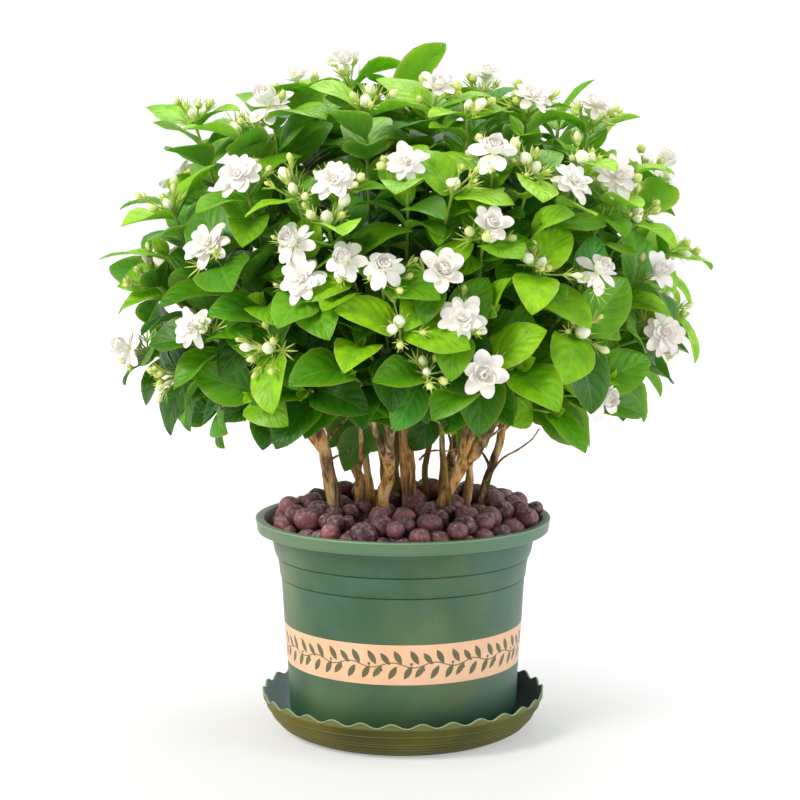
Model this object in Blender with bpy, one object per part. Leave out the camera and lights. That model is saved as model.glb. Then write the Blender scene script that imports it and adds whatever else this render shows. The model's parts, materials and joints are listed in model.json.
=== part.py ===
# A double-flowered jasmine bush in a green plastic pot on a scalloped saucer.
#
# Eight woody stems stand in the soil under a dressing of round clay pebbles. They fork
# into branches and green shoots that end on a broad domed crown. A shoot carries opposite
# pairs of leaves and ends in an open flower with buds, in a cluster of buds, or in leaves.
# Lengths are in metres. The origin is the middle of the saucer's underside, +Z is up, and
# -Y is the front.

import math
import random

import bpy
import numpy as np
from mathutils import Matrix, Vector
from mathutils.bvhtree import BVHTree
from mathutils.geometry import delaunay_2d_cdt, interpolate_bezier

for old in list(bpy.data.objects):
    bpy.data.objects.remove(old)

UP = Vector((0, 0, 1))
GOLDEN_ANGLE = math.pi * (3 - math.sqrt(5))
SEAT_GAP = 0.0003  # between pieces that rest on each other

# Pot and saucer
POT_SIDES = 36
POT_FOOT_HEIGHT = 0.0025
POT_HEIGHT = 0.1675
POT_FOOT_RADIUS = 0.0875
POT_WAIST_HEIGHT = 0.1080
POT_WAIST_RADIUS = 0.0942
POT_NECK_RADIUS = 0.1032
LIP_RADIUS = 0.115
LIP_DEPTH = 0.0105
LIP_WIDTH = 0.0070
POT_WALL = 0.0020
POT_FLOOR = 0.0030
DRAIN_HOLES = 6
DRAIN_HOLE_RADIUS = 0.005
DRAIN_HOLE_CIRCLE = 0.052

SAUCER_FLOOR = 0.0022
SAUCER_FOOT_RADIUS = 0.0870
SAUCER_RIM_RADIUS = 0.1110
SAUCER_RIM_HEIGHT = 0.0290
SAUCER_WALL = 0.0018
SCALLOPS = 30
SCALLOP_HEIGHT = 0.0019
SCALLOP_TURN = math.radians(-1.5)

# Soil and pebbles
SOIL_TOP = 0.1460
PEBBLE_EDGE_HEIGHT = 0.1610
PEBBLE_HEAP_HEIGHT = 0.1745
PEBBLE_COUNT = 66
PEBBLE_RELIEF = 0.0075

# Stems: where each leaves the soil, where it forks, and its radius there
STEM_FOOT_HEIGHT = 0.1050
STEM_STRAIGHT_TO = 0.1800
STEMS = (
    ((-0.050, -0.032), (-0.062, -0.043, 0.233), 0.0050),
    ((-0.026, 0.006), (-0.064, 0.036, 0.239), 0.0034),
    ((-0.008, 0.036), (-0.016, 0.074, 0.237), 0.0048),
    ((0.006, -0.008), (-0.004, -0.010, 0.288), 0.0050),
    ((0.026, -0.036), (0.060, -0.055, 0.233), 0.0038),
    ((0.034, 0.026), (0.045, 0.062, 0.237), 0.0036),
    ((0.062, -0.002), (0.078, 0.008, 0.235), 0.0030),
    ((-0.014, -0.034), (-0.010, -0.066, 0.233), 0.0042),
)
REACH_SPREAD = 1.42  # how much farther out than its fork the middle of a stem's share lies
STEM_SIDES = 5
STEM_SPREAD = 1.25  # a stem's foot is this much thicker than its fork
BRANCH_SHARE = 0.62  # a branch's radius as a share of its stem's
BRANCH_RADIUS = 0.0021
SHOOT_RADIUS = 0.0013
SHOOTS_TO_A_BRANCH = 4.5
NODE_LENGTH = 0.0024  # of the stretch of shoot that a pair of leaves or buds grows from

# The crown's dome, on which the flowers, buds and last leaves lie
CROWN_MIDDLE = 0.340
CROWN_REACH = 0.212
CROWN_RISE = 0.167
CROWN_DROP = 0.103
CROWN_SQUARENESS = 3.0
HEAD_DEPTHS = {"flower": 0.0155, "buds": 0.0100, "leaves": 0.0200}  # from the dome to the tip
VIEWED_FROM = Vector((0, -1.6, 0.46))

# Shoots on the front, as (across, up) in the upright plane through the pot's axis
FLOWERS_IN_FRONT = (
    (-0.150, 0.379), (-0.161, 0.314), (-0.084, 0.380), (-0.077, 0.352), (-0.053, 0.427),
    (-0.045, 0.369), (-0.014, 0.361), (0.002, 0.442), (0.070, 0.450), (0.066, 0.392),
    (0.029, 0.357), (0.045, 0.323), (0.061, 0.280), (0.155, 0.260), (0.199, 0.310),
    (0.193, 0.359), (0.150, 0.359), (0.128, 0.426), (0.163, 0.429), (0.098, 0.491),
    (0.146, 0.483), (-0.081, 0.502), (-0.102, 0.485), (-0.126, 0.431), (-0.210, 0.298),
    (0.025, 0.498), (-0.043, 0.514),
)
BUDS_IN_FRONT = (
    (-0.183, 0.413), (-0.162, 0.481), (-0.130, 0.470), (-0.086, 0.425), (-0.059, 0.402),
    (0.041, 0.429), (0.103, 0.440), (0.143, 0.444), (0.183, 0.406), (-0.029, 0.491),
    (0.051, 0.489), (-0.107, 0.299), (-0.004, 0.322), (0.018, 0.280), (0.141, 0.312),
    (0.108, 0.367), (-0.201, 0.355), (-0.187, 0.274), (0.209, 0.335), (0.209, 0.382),
)
LEAVES_IN_FRONT = (
    (-0.193, 0.386), (-0.167, 0.252), (-0.127, 0.258), (-0.083, 0.262), (0.127, 0.250),
    (0.169, 0.276), (0.182, 0.448), (0.200, 0.423), (-0.046, 0.284), (0.099, 0.288),
    (0.004, 0.512), (0.109, 0.406), (-0.036, 0.308), (0.075, 0.337), (-0.116, 0.343),
)
TIP_SPACING = 0.061
DIRECTIONS_TRIED = 420

# Leaves, as (arch and fold in degrees, edge wave as a share of the width)
LEAF_LENGTH = 0.053
LEAF_WIDTH_SHARE = 0.66
LEAF_THICKNESS = 0.0013
LEAF_SHAPES = ((38, 16, 0.10), (62, 10, 0.06), (20, 24, 0.13), (80, 14, 0.08), (46, 6, 0.16))
LEAF_STATIONS = (0.22, 0.62)
LEAVES_WANTED = 232
LEAF_LIFT = 0.08  # how far leaves above the crown's middle turn up, and those below hang
LEAF_HANG = 0.15
LEAF_SWAY = 0.20  # the most by which a leaf departs from that
LEAF_ROLL = 0.34
LEAF_FACES_UP = 0.50  # how far a blade faces up instead of along its shoot
BARE_BELOW = 0.257  # no leaf hangs lower than this over the middle of the pot
BARE_HALF_WIDTH = 0.095
SKIRT_HEIGHT = 0.222  # of the lowest leaves to either side
PAIR_SPACING = 0.031
CLEARANCE = 0.0008  # added all round a new piece when it is tried for room

# Flowers and buds
BLOOM_RADIUS = 0.0178
STALK_LENGTH = 0.0155
BUD_LENGTH = 0.0115
BUD_WIDTH_SHARE = 0.78


def material(name, colour, roughness):
    """A plain finish of this colour."""
    made = bpy.data.materials.new(name)
    made.use_nodes = True
    shader = made.node_tree.nodes["Principled BSDF"]
    shader.inputs["Base Color"].default_value = (*colour, 1)
    shader.inputs["Roughness"].default_value = roughness
    shader.inputs["Metallic"].default_value = 0
    made.diffuse_color = (*colour, 1)
    return made


GREEN_PLASTIC = material("green plastic", (0.075, 0.20, 0.095), 0.40)
OLIVE_PLASTIC = material("olive plastic", (0.115, 0.125, 0.035), 0.45)
SOIL = material("soil", (0.030, 0.018, 0.010), 0.95)
CLAY = material("fired clay", (0.105, 0.040, 0.042), 0.80)
BARK = material("bark", (0.24, 0.12, 0.045), 0.85)
LEAF = material("leaf", (0.11, 0.32, 0.018), 0.45)
PETAL = material("petal", (0.86, 0.84, 0.80), 0.55)
BUD = material("bud", (0.70, 0.76, 0.40), 0.50)


class Surface:
    """A closed surface built up from rings of points. Each ring runs anticlockwise as seen
    from where the surface goes next."""

    def __init__(self):
        self.points = []
        self.faces = []

    def ring(self, points):
        """Adds points and returns their numbers."""
        first = len(self.points)
        self.points += [Vector(point) for point in points]
        return list(range(first, len(self.points)))

    def join(self, low, high, open_sides=()):
        """Joins two rings of any length. An open side is left for a limb to grow from."""
        i = j = 0
        while i < len(low) or j < len(high):
            step_low = (i + 1) / len(low) if len(low) > 1 else 9
            step_high = (j + 1) / len(high) if len(high) > 1 else 9
            if min(step_low, step_high) > 1:
                break
            a, b = low[i % len(low)], high[j % len(high)]
            if step_low <= step_high:
                face = (a, low[(i + 1) % len(low)], b)
                side = i
                i += 1
            else:
                face = (a, high[(j + 1) % len(high)], b)
                side = j
                j += 1
            if side not in open_sides:
                self.faces.append(face)

    def cap_start(self, ring):
        self.faces += [(ring[0], ring[k + 1], ring[k]) for k in range(1, len(ring) - 1)]

    def cap_end(self, ring):
        self.faces += [(ring[0], ring[k], ring[k + 1]) for k in range(1, len(ring) - 1)]

    def blade(self, low, high):
        """Joins two four-cornered sections, with both faces of the blade split alike."""
        for k in range(4):
            n = (k + 1) % 4
            if k % 2 == 0:
                self.faces += [(low[k], low[n], high[n]), (low[k], high[n], high[k])]
            else:
                self.faces += [(low[k], low[n], high[k]), (low[n], high[n], high[k])]


def stitched(rings):
    """The closed surface through these rings of points. An end ring of several is flat."""
    surface = Surface()
    numbers = [surface.ring(ring) for ring in rings]
    surface.cap_start(numbers[0])
    for low, high in zip(numbers, numbers[1:]):
        surface.join(low, high)
    surface.cap_end(numbers[-1])
    return surface.points, surface.faces


def circle(radius, height, sides, turn=0.0):
    """A level ring of points round the Z axis."""
    angles = [turn + 2 * math.pi * k / sides for k in range(sides)]
    return [Vector((radius * math.cos(a), radius * math.sin(a), height)) for a in angles]


def axes_along(direction, towards=UP):
    """Columns: across, along the direction, and out, which leans towards the given vector."""
    along = direction.normalized()
    across = along.cross(towards)
    if across.length < 1e-4:
        across = along.cross(Vector((1, 0, 0)))
    across.normalize()
    return Matrix((across, along, across.cross(along))).transposed()


def round_about(basis, angle):
    """The direction at this angle round the basis's along axis."""
    return basis.col[2] * math.cos(angle) + basis.col[0] * math.sin(angle)


def ring_round(middle, basis, radius, sides, turn=0.0):
    """A ring of points round the basis's along axis."""
    angles = [turn + 2 * math.pi * k / sides for k in range(sides)]
    return [middle + round_about(basis, angle) * radius for angle in angles]


def carried_basis(basis, direction):
    """The basis turned as little as possible to run along the direction."""
    out = basis.col[2] - basis.col[2].dot(direction) * direction
    return axes_along(direction, out)


def tube(path, radii, sides):
    """A closed tube along the path, with a radius for each point."""
    basis = axes_along(path[1] - path[0], Vector((0.31, 0.95, 0.1)))
    rings = []
    for k, (centre, radius) in enumerate(zip(path, radii)):
        direction = (path[min(k + 1, len(path) - 1)] - path[max(k - 1, 0)]).normalized()
        basis = carried_basis(basis, direction)
        rings.append(ring_round(centre, basis, radius, sides))
    return stitched(rings)


def add_object(name, shape, materials, smooth_below=None):
    """A named object of this shape, shaded smooth below this angle between faces."""
    points, faces = shape
    mesh = bpy.data.meshes.new(name)
    mesh.from_pydata([tuple(point) for point in points], [], faces)
    for item in materials:
        mesh.materials.append(item)
    if smooth_below:
        mesh.shade_smooth()
        mesh.set_sharp_from_angle(angle=math.radians(smooth_below))
    made = bpy.data.objects.new(name, mesh)
    bpy.context.scene.collection.objects.link(made)
    return made


def combine(target, tools, operation):
    """Applies one Boolean of the target with every tool, and removes the tools."""
    group = bpy.data.collections.new("tools")
    bpy.context.scene.collection.children.link(group)
    for tool in tools:
        bpy.context.scene.collection.objects.unlink(tool)
        group.objects.link(tool)
    boolean = target.modifiers.new("combine", "BOOLEAN")
    boolean.operation = operation
    boolean.operand_type = "COLLECTION"
    boolean.collection = group
    boolean.solver = "MANIFOLD"
    boolean.material_mode = "TRANSFER"
    with bpy.context.temp_override(object=target, active_object=target):
        bpy.ops.object.modifier_apply(modifier=boolean.name)
    for tool in tools:
        bpy.data.objects.remove(tool)
    bpy.data.collections.remove(group)


# Saucer: moulded in olive plastic, with a waved rim

def saucer_rim(radius):
    ring = circle(radius, SAUCER_RIM_HEIGHT, SCALLOPS * 4, SCALLOP_TURN)
    for k, point in enumerate(ring):
        point.z += SCALLOP_HEIGHT * math.sin(k * math.pi / 2)
    return ring


def build_saucer():
    rings = [
        circle(SAUCER_FOOT_RADIUS, 0, SCALLOPS),
        circle(0.1015, 0.0105, SCALLOPS),
        saucer_rim(SAUCER_RIM_RADIUS),
        saucer_rim(SAUCER_RIM_RADIUS - SAUCER_WALL),
        circle(0.0990, 0.0110, SCALLOPS),
        circle(POT_FOOT_RADIUS + 0.002, SAUCER_FLOOR, SCALLOPS),
    ]
    return add_object("saucer", stitched(rings), [OLIVE_PLASTIC], 40)


# Pot: thin green plastic with a turned-out lip and a flared neck under it

def pot_inner_radius(height):
    """Radius of the pot's inside at this height above the floor it stands on."""
    heights = (POT_FOOT_HEIGHT + POT_FLOOR, POT_WAIST_HEIGHT, POT_HEIGHT - LIP_DEPTH, POT_HEIGHT)
    radii = (
        POT_FOOT_RADIUS - POT_WALL,
        POT_WAIST_RADIUS - POT_WALL,
        POT_NECK_RADIUS - POT_WALL,
        LIP_RADIUS - LIP_WIDTH,
    )
    return float(np.interp(height, heights, radii))


def build_pot():
    lip_bottom = POT_HEIGHT - LIP_DEPTH
    floor = POT_FOOT_HEIGHT + POT_FLOOR
    outside = (
        (POT_FOOT_RADIUS, POT_FOOT_HEIGHT),
        (POT_WAIST_RADIUS, POT_WAIST_HEIGHT),
        (POT_NECK_RADIUS, lip_bottom + 0.001),
        (LIP_RADIUS - 0.001, lip_bottom),
        (LIP_RADIUS, POT_HEIGHT - 0.002),
        (LIP_RADIUS - 0.002, POT_HEIGHT),
    )
    inside = [(pot_inner_radius(z), z) for z in (POT_HEIGHT, lip_bottom, POT_WAIST_HEIGHT, floor)]
    rings = [circle(radius, height, POT_SIDES) for radius, height in (*outside, *inside)]
    pot = add_object("pot", stitched(rings), [GREEN_PLASTIC], 40)
    drains = []
    for k in range(DRAIN_HOLES):
        turn = 2 * math.pi * k / DRAIN_HOLES
        middle = Vector((math.cos(turn), math.sin(turn), 0)) * DRAIN_HOLE_CIRCLE
        path = [middle + UP * (POT_FOOT_HEIGHT - 0.002), middle + UP * (floor + 0.002)]
        drains.append(add_object("drain", tube(path, [DRAIN_HOLE_RADIUS] * 2, 8), [GREEN_PLASTIC]))
    combine(pot, drains, "DIFFERENCE")
    return pot


# Soil and the dressing of clay pebbles over it, both with plain holes for the stems

def stem_holes():
    """Cutters a little wider and longer than the part of each stem that is buried."""
    cutters = []
    for (x, y), _, radius in STEMS:
        low, high = STEM_FOOT_HEIGHT - SEAT_GAP, STEM_STRAIGHT_TO + 0.006
        shape = tube([Vector((x, y, low)), Vector((x, y, high))], [radius * STEM_SPREAD + 0.0006] * 2, STEM_SIDES)
        cutters.append(add_object("stem_hole", shape, [SOIL]))
    return cutters


def build_soil():
    floor = POT_FOOT_HEIGHT + POT_FLOOR + SEAT_GAP
    heights = (floor, POT_WAIST_HEIGHT, SOIL_TOP)
    rings = [circle(pot_inner_radius(z) - 2 * SEAT_GAP, z, POT_SIDES) for z in heights]
    soil = add_object("soil", stitched(rings), [SOIL])
    combine(soil, stem_holes(), "DIFFERENCE")
    return soil


def pebble_bed(point, above=0.0):
    """The point of the heaped bed over this one, raised by the given amount."""
    share = min(point.xy.length / pot_inner_radius(PEBBLE_EDGE_HEIGHT), 1)
    drop = (PEBBLE_HEAP_HEIGHT - PEBBLE_EDGE_HEIGHT) * share ** 2
    return Vector((point.x, point.y, PEBBLE_HEAP_HEIGHT - drop + above))


def build_pebbles():
    """One layer whose top is a dome for each pebble, with valleys between them."""
    edge = pot_inner_radius(PEBBLE_EDGE_HEIGHT) - 2 * SEAT_GAP
    low = SOIL_TOP + SEAT_GAP
    spin = random.Random(11)
    spots = circle(edge, 0, POT_SIDES)
    for k in range(PEBBLE_COUNT):
        from_axis = (edge - 0.0085) * math.sqrt((k + 0.5) / PEBBLE_COUNT)
        angle = k * GOLDEN_ANGLE + spin.uniform(-0.09, 0.09)
        spots.append(Vector((math.cos(angle), math.sin(angle), 0)) * from_axis)
    triangles = delaunay_2d_cdt([spot.xy for spot in spots], [], [], 0, 1e-5)[2]

    surface = Surface()
    rim = surface.ring([pebble_bed(spot) for spot in spots[:POT_SIDES]])
    valleys = surface.ring([pebble_bed(sum((spots[i] for i in t), Vector()) / 3) for t in triangles])
    foot = surface.ring(circle(pot_inner_radius(low) - 2 * SEAT_GAP, low, POT_SIDES))
    neck = POT_HEIGHT - LIP_DEPTH
    flare = surface.ring(circle(pot_inner_radius(neck) - 2 * SEAT_GAP, neck, POT_SIDES))
    surface.cap_start(foot)
    surface.join(foot, flare)
    surface.join(flare, rim)
    for number, spot in enumerate(spots):
        around = [k for k, triangle in enumerate(triangles) if number in triangle]
        edge_turn = math.atan2(-spot.y, -spot.x) + math.pi if number < POT_SIDES else 0

        def bearing(k):
            arm = surface.points[valleys[k]] - spot
            return (math.atan2(arm.y, arm.x) - edge_turn) % (2 * math.pi)

        corners = [valleys[k] for k in sorted(around, key=bearing)]
        if number < POT_SIDES:
            following = rim[(number + 1) % POT_SIDES]
            ring = [following, *corners]
            surface.faces += [(rim[number], a, b) for a, b in zip(ring, ring[1:])]
            continue
        rise = PEBBLE_RELIEF * spin.uniform(0.8, 1.15)
        shoulders = surface.ring(
            [pebble_bed(spot.lerp(surface.points[corner], 0.68), rise * 0.66) for corner in corners]
        )
        surface.join(corners, shoulders)
        surface.join(shoulders, surface.ring([pebble_bed(spot, rise)]))
    pebbles = add_object("pebbles", (surface.points, surface.faces), [CLAY])
    combine(pebbles, stem_holes(), "DIFFERENCE")
    return pebbles


# Room: what has been placed so far, so that the next piece is set clear of it

class Room:
    def __init__(self):
        self.trees = []
        self.owners = []
        self.lows = np.zeros((0, 3))
        self.highs = np.zeros((0, 3))

    def add(self, shape, owner):
        points, faces = shape
        corners = np.array(points)
        self.trees.append(BVHTree.FromPolygons(points, faces))
        self.owners.append(owner)
        self.lows = np.vstack([self.lows, corners.min(0)])
        self.highs = np.vstack([self.highs, corners.max(0)])

    def is_clear(self, shape, but=()):
        """True if the shape crosses nothing here, apart from what the owners in but hold."""
        points, faces = shape
        corners = np.array(points)
        near = (self.lows <= corners.max(0)).all(1) & (self.highs >= corners.min(0)).all(1)
        tree = None
        for k in np.flatnonzero(near):
            if self.owners[k] in but:
                continue
            tree = tree or BVHTree.FromPolygons(points, faces)
            if tree.overlap(self.trees[k]):
                return False
        return True


# The crown: where the shoots end, and which stem feeds each

class Shoot:
    """One green shoot: its tip, the way it grows there, and what it ends in."""

    def __init__(self, head, ends_in, chance):
        away = (head - Vector((0, 0, CROWN_MIDDLE))).normalized()
        lift = 0.55 if head.z > CROWN_MIDDLE else 0.25
        jitter = Vector([chance.uniform(-0.18, 0.18) for _ in range(3)])
        self.ends_in = ends_in
        self.away = away
        self.axis = (away * 0.75 + UP * lift + jitter).normalized()
        self.tip = head - self.axis * HEAD_DEPTHS[ends_in]
        self.size = chance.uniform(0.86, 1.14)
        self.turn = chance.uniform(0, math.pi)
        self.seed = chance.randrange(10 ** 6)
        self.path = []
        self.leaves = []
        self.buds = []

    def place(self, below):
        """The point this far below the tip, and the direction of growth there."""
        left = below
        for high, low in zip(self.path[::-1], self.path[-2::-1]):
            span = (high - low).length
            if left <= span:
                return high.lerp(low, left / span), (high - low).normalized()
            left -= span
        return None, None


def crown_reach(direction):
    """Distance from the crown's middle to its surface in this direction."""
    rise = CROWN_RISE if direction.z > 0 else CROWN_DROP
    level = math.hypot(direction.x, direction.y) / CROWN_REACH
    power = CROWN_SQUARENESS
    return (level ** power + (abs(direction.z) / rise) ** power) ** (-1 / power)


def on_crown(across, up):
    """The crown's surface in front of this point of the upright plane through the axis."""
    aim = Vector((across, 0, up))
    middle = Vector((0, 0, CROWN_MIDDLE))
    for step in range(80):
        point = aim.lerp(VIEWED_FROM, 0.16 * (1 - step / 79))
        arm = point - middle
        if arm.length <= crown_reach(arm.normalized()):
            return point
    return aim


def crown_shoots():
    """Every shoot: those seen in front, then the rest, spread evenly round the dome."""
    chance = random.Random(5)
    shoots = []
    for places, ends_in in (
        (FLOWERS_IN_FRONT, "flower"),
        (BUDS_IN_FRONT, "buds"),
        (LEAVES_IN_FRONT, "leaves"),
    ):
        shoots += [Shoot(on_crown(*place), ends_in, chance) for place in places]
    middle = Vector((0, 0, CROWN_MIDDLE))
    for k in range(DIRECTIONS_TRIED):
        height = 0.98 - 1.55 * (k + 0.5) / DIRECTIONS_TRIED
        level = math.sqrt(1 - height ** 2)
        turn = k * GOLDEN_ANGLE
        direction = Vector((level * math.cos(turn), level * math.sin(turn), height))
        head = middle + direction * crown_reach(direction) * chance.uniform(0.93, 1.0)
        if all((head - other.tip).length > TIP_SPACING for other in shoots):
            ends_in = chance.choice(("flower", "flower", "buds", "leaves", "leaves"))
            shoots.append(Shoot(head, ends_in, chance))
    return shoots


def bent(start, leave, end, arrive, count):
    """Points on a smooth curve that leaves and arrives in the given directions."""
    pull = (end - start).length * 0.38
    return interpolate_bezier(start, start + leave * pull, end - arrive * pull, end, count)


def along_path(path, share):
    """The point this share of the way along the path's points."""
    at = share * (len(path) - 1)
    k = min(int(at), len(path) - 2)
    return path[k].lerp(path[k + 1], at - k)


def middle_of(group):
    return sum((shoot.tip for shoot in group), Vector()) / len(group)


def grow_wood(number, shoots, room):
    """Places one stem and its branches. Returns their shapes, and each branch's path with
    the shoots that it carries."""
    (x, y), fork, radius = STEMS[number]
    fork = Vector(fork)
    ground = Vector((x, y, STEM_STRAIGHT_TO))
    lean = ((fork - ground).normalized() + UP).normalized()
    trunk = [Vector((x, y, STEM_FOOT_HEIGHT)), *bent(ground, UP, fork, lean, 3)]
    around = sorted(shoots, key=lambda s: math.atan2(s.tip.y - fork.y, s.tip.x - fork.x))
    count = max(1, round(len(around) / SHOOTS_TO_A_BRANCH))
    groups = [[around[k] for k in part] for part in np.array_split(np.arange(len(around)), count)]
    groups.sort(key=lambda group: -lean.dot((middle_of(group) - fork).normalized()))
    wood = []
    branches = []
    for rank, group in enumerate(groups):
        target = middle_of(group)
        knot = fork.lerp(target, 0.55)
        arrive = (target - knot).normalized()
        start = along_path(trunk, 1 - 0.07 * rank)
        leave = lean if rank == 0 else (lean + arrive).normalized()
        branch = bent(start, leave, knot, arrive, 3)
        if rank == 0:
            thick = [radius * STEM_SPREAD] * 2 + [radius * 1.05, radius, BRANCH_RADIUS * 1.2, BRANCH_RADIUS]
            wood.append(tube([*trunk, *branch[1:]], thick, STEM_SIDES))
        else:
            wood.append(tube(branch, [radius * BRANCH_SHARE, BRANCH_RADIUS * 1.1, BRANCH_RADIUS], 4))
        branches.append((branch, group))
    for shape in wood:
        room.add(shape, ("wood", number))
    return wood, branches


def grow_shoots(number, branches, room):
    """Sets the paths of the green shoots on one stem's branches. One with no room is left out."""
    own = [("wood", number)]
    for branch, group in branches:
        heading = (branch[-1] - branch[-2]).normalized()
        ranked = sorted(group, key=lambda s: -heading.dot((s.tip - branch[-1]).normalized()))
        for rank, shoot in enumerate(ranked):
            for attempt in range(12):
                start = along_path(branch, max(0.97 - 0.16 * rank - 0.04 * attempt, 0.1))
                straight = (shoot.tip - start).normalized()
                leave = (straight + heading * (0.9 - 0.14 * attempt)).normalized()
                path = bent(start, leave, shoot.tip, shoot.axis, 3)
                if room.is_clear(tube(path, [SHOOT_RADIUS + CLEARANCE] * 3, 3), own):
                    shoot.path = path
                    room.add(shoot_shape(shoot), ("shoot", shoot.seed))
                    own.append(("shoot", shoot.seed))
                    break


# Flowers: a green stalk and tube, an outer whorl of blunt petals and a raised inner one

def bud_rings(base, basis, stalk, length, swell=0.0):
    """Rings of points round a bud that stands on a stalk."""
    wide = length * BUD_WIDTH_SHARE / 2
    along = basis.col[1]
    return [
        ring_round(base + along * stalk, basis, wide * 0.36 + swell, 3),
        ring_round(base + along * (stalk + 0.48 * length), basis, wide + swell, 4),
        [base + along * (stalk + length + swell)],
    ]


def bud_shape(bud, swell=0.0):
    """A bud on its own, closed at the foot of its stalk, to try it for room."""
    base, basis, stalk, length = bud
    foot = ring_round(base + basis.col[1] * 0.0007, basis, 0.0012 + swell, 3)
    return stitched([foot, *bud_rings(base, basis, stalk, length, swell)])


def buds_at(shoot, base, axis, count, chance):
    """Up to two opposite buds that spread from a point of an axis."""
    around = axes_along(axis)
    buds = []
    for k in range(count):
        angle = shoot.turn + math.pi * k + chance.uniform(-0.4, 0.4)
        spread = chance.uniform(0.55, 0.95)
        direction = round_about(around, angle) * math.sin(spread) + axis * math.cos(spread)
        length = BUD_LENGTH * chance.uniform(0.68, 1.25)
        buds.append((base, axes_along(direction, axis), chance.uniform(0.007, 0.013), length))
    return buds


class Flower:
    """An open flower on its stalk, which stands on the end of a shoot."""

    def __init__(self, shoot, chance, attempt):
        view = (VIEWED_FROM - shoot.tip).normalized()
        turned = 0.45 if shoot.away.y < 0.2 else 0.0
        jitter = Vector([chance.uniform(-0.22, 0.22) for _ in range(3)])
        self.facing = (shoot.axis + shoot.away * 0.4 + view * turned + jitter).normalized()
        self.radius = BLOOM_RADIUS * shoot.size * (1 - 0.02 * attempt)
        self.stalk = STALK_LENGTH * chance.uniform(0.9, 1.15) + 0.0004 * attempt
        self.foot = shoot.tip + shoot.axis * SEAT_GAP
        self.centre = self.foot + (shoot.axis * 0.6 + self.facing * 0.4) * self.stalk
        self.foot_basis = axes_along(shoot.axis)
        self.basis = axes_along(self.facing)
        self.seed = shoot.seed
        self.node = 0.30 * self.stalk
        self.buds = buds_at(shoot, self.foot + shoot.axis * self.node, shoot.axis, 2, chance)

    def spot(self, angle, reach, lift, swell=0.0):
        """A point of the flower, in shares of its radius from its centre."""
        level = round_about(self.basis, angle) * (reach * self.radius + swell)
        return self.centre + level + self.basis.col[1] * lift * self.radius

    def shape(self, swell=0.0):
        """The flower and its buds as one closed surface."""
        chance = random.Random(self.seed)
        turns = [2 * math.pi * k / 5 for k in range(5)]
        outer = []
        for a in turns:
            long, lift = chance.uniform(0.90, 1.04), chance.uniform(0.02, 0.30)
            outer += [self.spot(a - 0.30, long, lift, swell), self.spot(a + 0.30, long, lift, swell)]
            outer.append(self.spot(a + 0.628, 0.52, -0.02, swell))
        inner = []
        for a in turns:
            inner.append(self.spot(a + 0.1, 0.36, 0.30))
            inner.append(self.spot(a + 0.628, chance.uniform(0.60, 0.72), chance.uniform(0.42, 0.58)))
        surface = Surface()
        below = surface.ring(ring_round(self.foot, self.foot_basis, SHOOT_RADIUS + swell, 3))
        surface.cap_start(below)
        if self.buds and not swell:
            below = grow_limbs(
                surface, below, self.foot_basis, self.foot + self.foot_basis.col[1] * self.node,
                [(bud[1].col[1], bud_rings(*bud), False) for bud in self.buds],
            )
        for ring in (
            [self.spot(a, 0.14, -0.12, swell) for a in turns],
            outer[-1:] + outer[:-1],
            [self.spot(a - 0.1, 0.30, 0.10) for a in turns],
            inner,
            [self.spot(0, 0, 0.50)],
        ):
            above = surface.ring(ring)
            surface.join(below, above)
            below = above
        return surface.points, surface.faces


def grow_limbs(surface, below, basis, middle, limbs):
    """Carries a three-sided shoot past a node, with a leaf or a bud on up to two of its sides.

    A limb is (direction, rings, whether it is a blade). Returns the ring above the node."""
    along = basis.col[1] * NODE_LENGTH / 2
    lower = surface.ring(ring_round(middle - along, basis, SHOOT_RADIUS, 3))
    upper = surface.ring(ring_round(middle + along, basis, SHOOT_RADIUS, 3))
    surface.join(below, lower)
    normals = [round_about(basis, 2 * math.pi * (k + 0.5) / 3) for k in range(3)]
    taken = []
    for direction, rings, is_blade in limbs:
        side = max((k for k in range(3) if k not in taken), key=lambda k: normals[k].dot(direction))
        taken.append(side)
        n = (side + 1) % 3
        hole = [lower[side], lower[n], upper[n], upper[side]]
        first = list(rings[0])
        shift = min(
            range(len(hole)),
            key=lambda s: sum(
                (surface.points[hole[(i + s) % 4]] - first[i * len(first) // 4]).length for i in range(4)
            ),
        )
        hole = hole[shift:] + hole[:shift]
        previous = surface.ring(first)
        if is_blade:
            surface.blade(hole, previous)
        else:
            surface.join(hole, previous)
        for ring in rings[1:]:
            following = surface.ring(ring)
            if is_blade and len(ring) == 4:
                surface.blade(previous, following)
            else:
                surface.join(previous, following)
            previous = following
    surface.join(lower, upper, taken)
    return upper


def flower_spray(shoot, room):
    """A flower with its buds, set clear of what is there, or None."""
    own = (("shoot", shoot.seed),)
    for attempt in range(16):
        chance = random.Random(shoot.seed + attempt)
        flower = Flower(shoot, chance, attempt)
        buds = flower.buds
        flower.buds = []
        if not room.is_clear(flower.shape(CLEARANCE), own) or not room.is_clear(flower.shape()):
            continue
        bloom = BVHTree.FromPolygons(*flower.shape(CLEARANCE / 2))
        for bud in buds:
            points, faces = bud_shape(bud, CLEARANCE)
            head = BVHTree.FromPolygons(points, [face for face in faces if max(face) > 5])
            if room.is_clear((points, faces), own) and not head.overlap(bloom):
                flower.buds.append(bud)
        return flower
    return None


def bud_cluster(shoot, room):
    """Sets the buds that stand round a shoot's tip, clear of what is there."""
    chance = random.Random(shoot.seed)
    own = (("shoot", shoot.seed),)
    base = shoot.tip - shoot.axis * NODE_LENGTH
    for bud in buds_at(shoot, base, shoot.axis, chance.choice((1, 2, 2, 2)), chance):
        if room.is_clear(bud_shape(bud, CLEARANCE), own):
            room.add(bud_shape(bud), ("bud", shoot.seed))
            shoot.buds.append(bud)


# Leaves: opposite pairs along the shoots

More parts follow.
